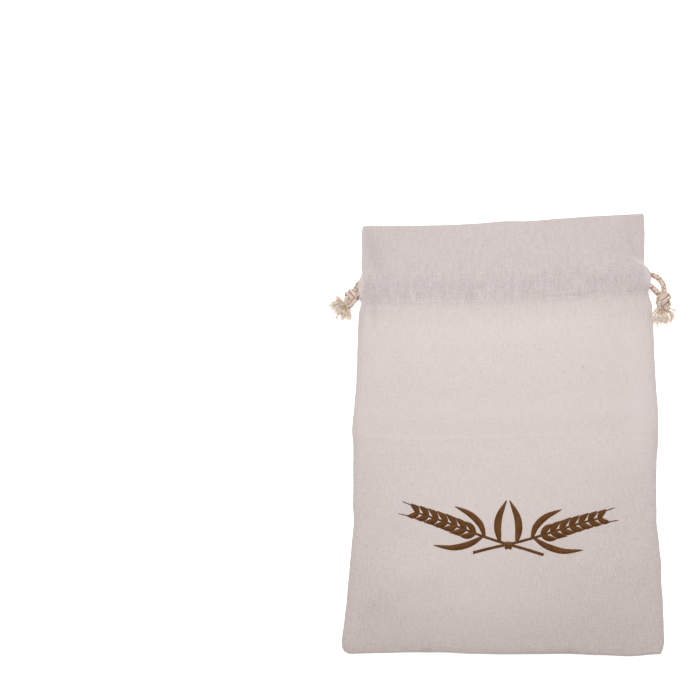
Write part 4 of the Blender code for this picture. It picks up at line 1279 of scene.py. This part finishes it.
def cotton():
    cord = Finish("undyed cotton cord")
    groove, specks_and_shade = cord.attribute("groove"), cord.attribute("specks_and_shade")
    hairs = cord.spots(1100.0, 3.0, 0.75)
    patches = cord.spots(COTTON_SPOTS)
    colour = cord.mixed(hairs.between(0.33, 0.70), DEEP_COTTON, PALE_COTTON)
    # brown specks, denser on the front end as painted shade
    colour = cord.mixed(patches.between(0.44, 0.60) * (0.25 + 0.5 * specks_and_shade), colour, WORN_AND_SHADED_COTTON)
    # painted shade between the plies and where two cords touch
    colour = cord.mixed((groove + hairs * 0.16).between(0.18, 0.44) * 0.80, colour, PLY_GROOVE_SHADE)
    # near black painted shadow in the deepest gaps, such as the knot's hollow
    colour = cord.mixed(groove.between(0.8, 1.4), colour, GAP_SHADOW)
    return cord.shaded(colour, 0.9, hairs, 0.0003, 0.6, sheen=0.1)


def frayed_cotton():
    fibre = Finish("frayed cotton fibres")
    patches, loose = fibre.spots(COTTON_SPOTS), fibre.attribute("loose")
    colour = fibre.mixed(patches.between(0.42, 0.62), (0.92, 0.87, 0.81, 1.0), (0.90, 0.74, 0.59, 1.0))
    # painted brown shade near the knot, and on the strays
    shade_near_knot = (patches * 0.9 + 0.05 - loose).between(0.0, 0.35)
    colour = fibre.mixed(shade_near_knot * 0.7, colour, (0.66, 0.43, 0.25, 1.0))
    return fibre.shaded(colour, 0.85, sheen=0.1)


def sewing_thread():
    thread = Finish("pale sewing thread")
    patches = thread.spots(500.0)
    colour = thread.mixed(patches.between(0.3, 0.7), (0.82, 0.78, 0.77, 1.0), (0.62, 0.57, 0.56, 1.0))
    return thread.shaded(colour, 0.7, patches, 0.0001, 0.4)


def embroidery_thread():
    thread = Finish("brown embroidery thread")
    fine = thread.spots(2600.0, along=900.0)
    patches = thread.spots(120.0)
    colour = thread.mixed(fine.between(0.3, 0.7), (0.100, 0.036, 0.007, 1.0), (0.25, 0.105, 0.026, 1.0))
    colour = thread.mixed(patches.between(0.4, 0.7) * 0.4, colour, (0.075, 0.027, 0.006, 1.0))
    thread.shader.inputs["Specular IOR Level"].default_value = 0.25
    return thread.shaded(colour, 0.5, fine, 0.0001, 0.3)


cotton_finish, frayed_finish = cotton(), frayed_cotton()
seam_finish, brown_finish = sewing_thread(), embroidery_thread()
print("finishes:", [made.name for made in (cotton_finish, frayed_finish, seam_finish, brown_finish)])

# %% [markdown]
# ## Table and light
#
# The table is plain and nearly white. One wide soft lamp hangs a little beyond the bag's mouth, so the cloth gets
# somewhat darker towards the bottom seam, and a bright room fills the shadows.

# %% Table
TABLE_HALF, TABLE_DEPTH = 3.0, 0.0001   # in metres: half its size, and how far it lies under the cloth
TABLE_GLOW = 0.65                    # it shines a little by itself, so that it stays nearly white


def table_finish():
    top = Finish("white table")
    colour = top.mixed(top.spots(3.0), (0.90, 0.90, 0.90, 1.0), (0.93, 0.93, 0.93, 1.0))
    top.shader.inputs["Emission Color"].default_value = (1.0, 1.0, 1.0, 1.0)
    top.shader.inputs["Emission Strength"].default_value = TABLE_GLOW
    return top.shaded(colour, 0.9)


bm = bmesh.new()
bmesh.ops.create_grid(bm, x_segments=4, y_segments=4, size=TABLE_HALF,
                      matrix=Matrix.Translation((0, 0, -TABLE_DEPTH)))
table = show_mesh("table", bm)
table.data.materials.append(table_finish())

# %% Lamps
LAMP_PLACE, LAMP_SIZE, LAMP_POWER = Vector((-0.02, 0.28, 0.82)), 0.45, 6.3
LAMP_TINT, ROOM_TINT = (1.0, 0.975, 0.945), (0.965, 0.98, 1.0, 1.0)
ROOM_LIGHT = 0.36                    # strength of the light from all sides

lamp = show("soft_lamp", bpy.data.lights.new("soft_lamp", "AREA"))
lamp.data.shape = "DISK"
lamp.data.size = LAMP_SIZE
lamp.data.energy = LAMP_POWER
lamp.data.color = LAMP_TINT
lamp.location = LAMP_PLACE
lamp.visible_camera = False
room = bpy.data.worlds.new("bright room")
room.use_nodes = True
room.node_tree.nodes["Background"].inputs["Color"].default_value = ROOM_TINT
room.node_tree.nodes["Background"].inputs["Strength"].default_value = ROOM_LIGHT
scene.world = room
scene.view_settings.view_transform = "Standard"
print("lamp", LAMP_POWER, "W,", LAMP_SIZE, "m wide")

# %% [markdown]
# ## Put the pieces in their places
#
# Each piece takes its finish, rides on the bag's one body and stands for the solid whose room it fills.

# %% Finish every piece
Dressed = namedtuple("Dressed", "piece finish slot nodes")
DRESSED = (
    Dressed(front, linen_finish, "linen", ("front_panel",)),
    Dressed(back, linen_finish, "linen", ("back_panel",)),
    Dressed(cords["left"], cotton_finish, "cotton_cord", ("drawcord_left",)),
    Dressed(cords["right"], cotton_finish, "cotton_cord", ("drawcord_right",)),
    Dressed(knots["left"], cotton_finish, "cotton_cord", ("knot_left",)),
    Dressed(knots["right"], cotton_finish, "cotton_cord", ("knot_right",)),
    Dressed(frayed["left"], frayed_finish, "frayed_cotton", ("tassel_left",)),
    Dressed(frayed["right"], frayed_finish, "frayed_cotton", ("tassel_right",)),
    Dressed(front_stitches, seam_finish, None, ()),
    Dressed(back_stitches, seam_finish, None, ()),
    Dressed(embroidery, brown_finish, None, ()),
)
for piece, finish, slot, nodes in DRESSED:
    piece.data.materials.append(finish)
    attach(piece, "root")
    if nodes:
        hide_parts(*nodes)
print(len(DRESSED), "pieces finished")

# %% Each cord's path as points, and its length in metres
PATH_STEPS = 240

for side in ENDS:
    dense, reach = smooth_route(drawcord_route(side))
    path = [placed(*point_along(dense, reach, reach[-1] * k / PATH_STEPS)) for k in range(PATH_STEPS + 1)]
    round(reach[-1] * MM, 4)
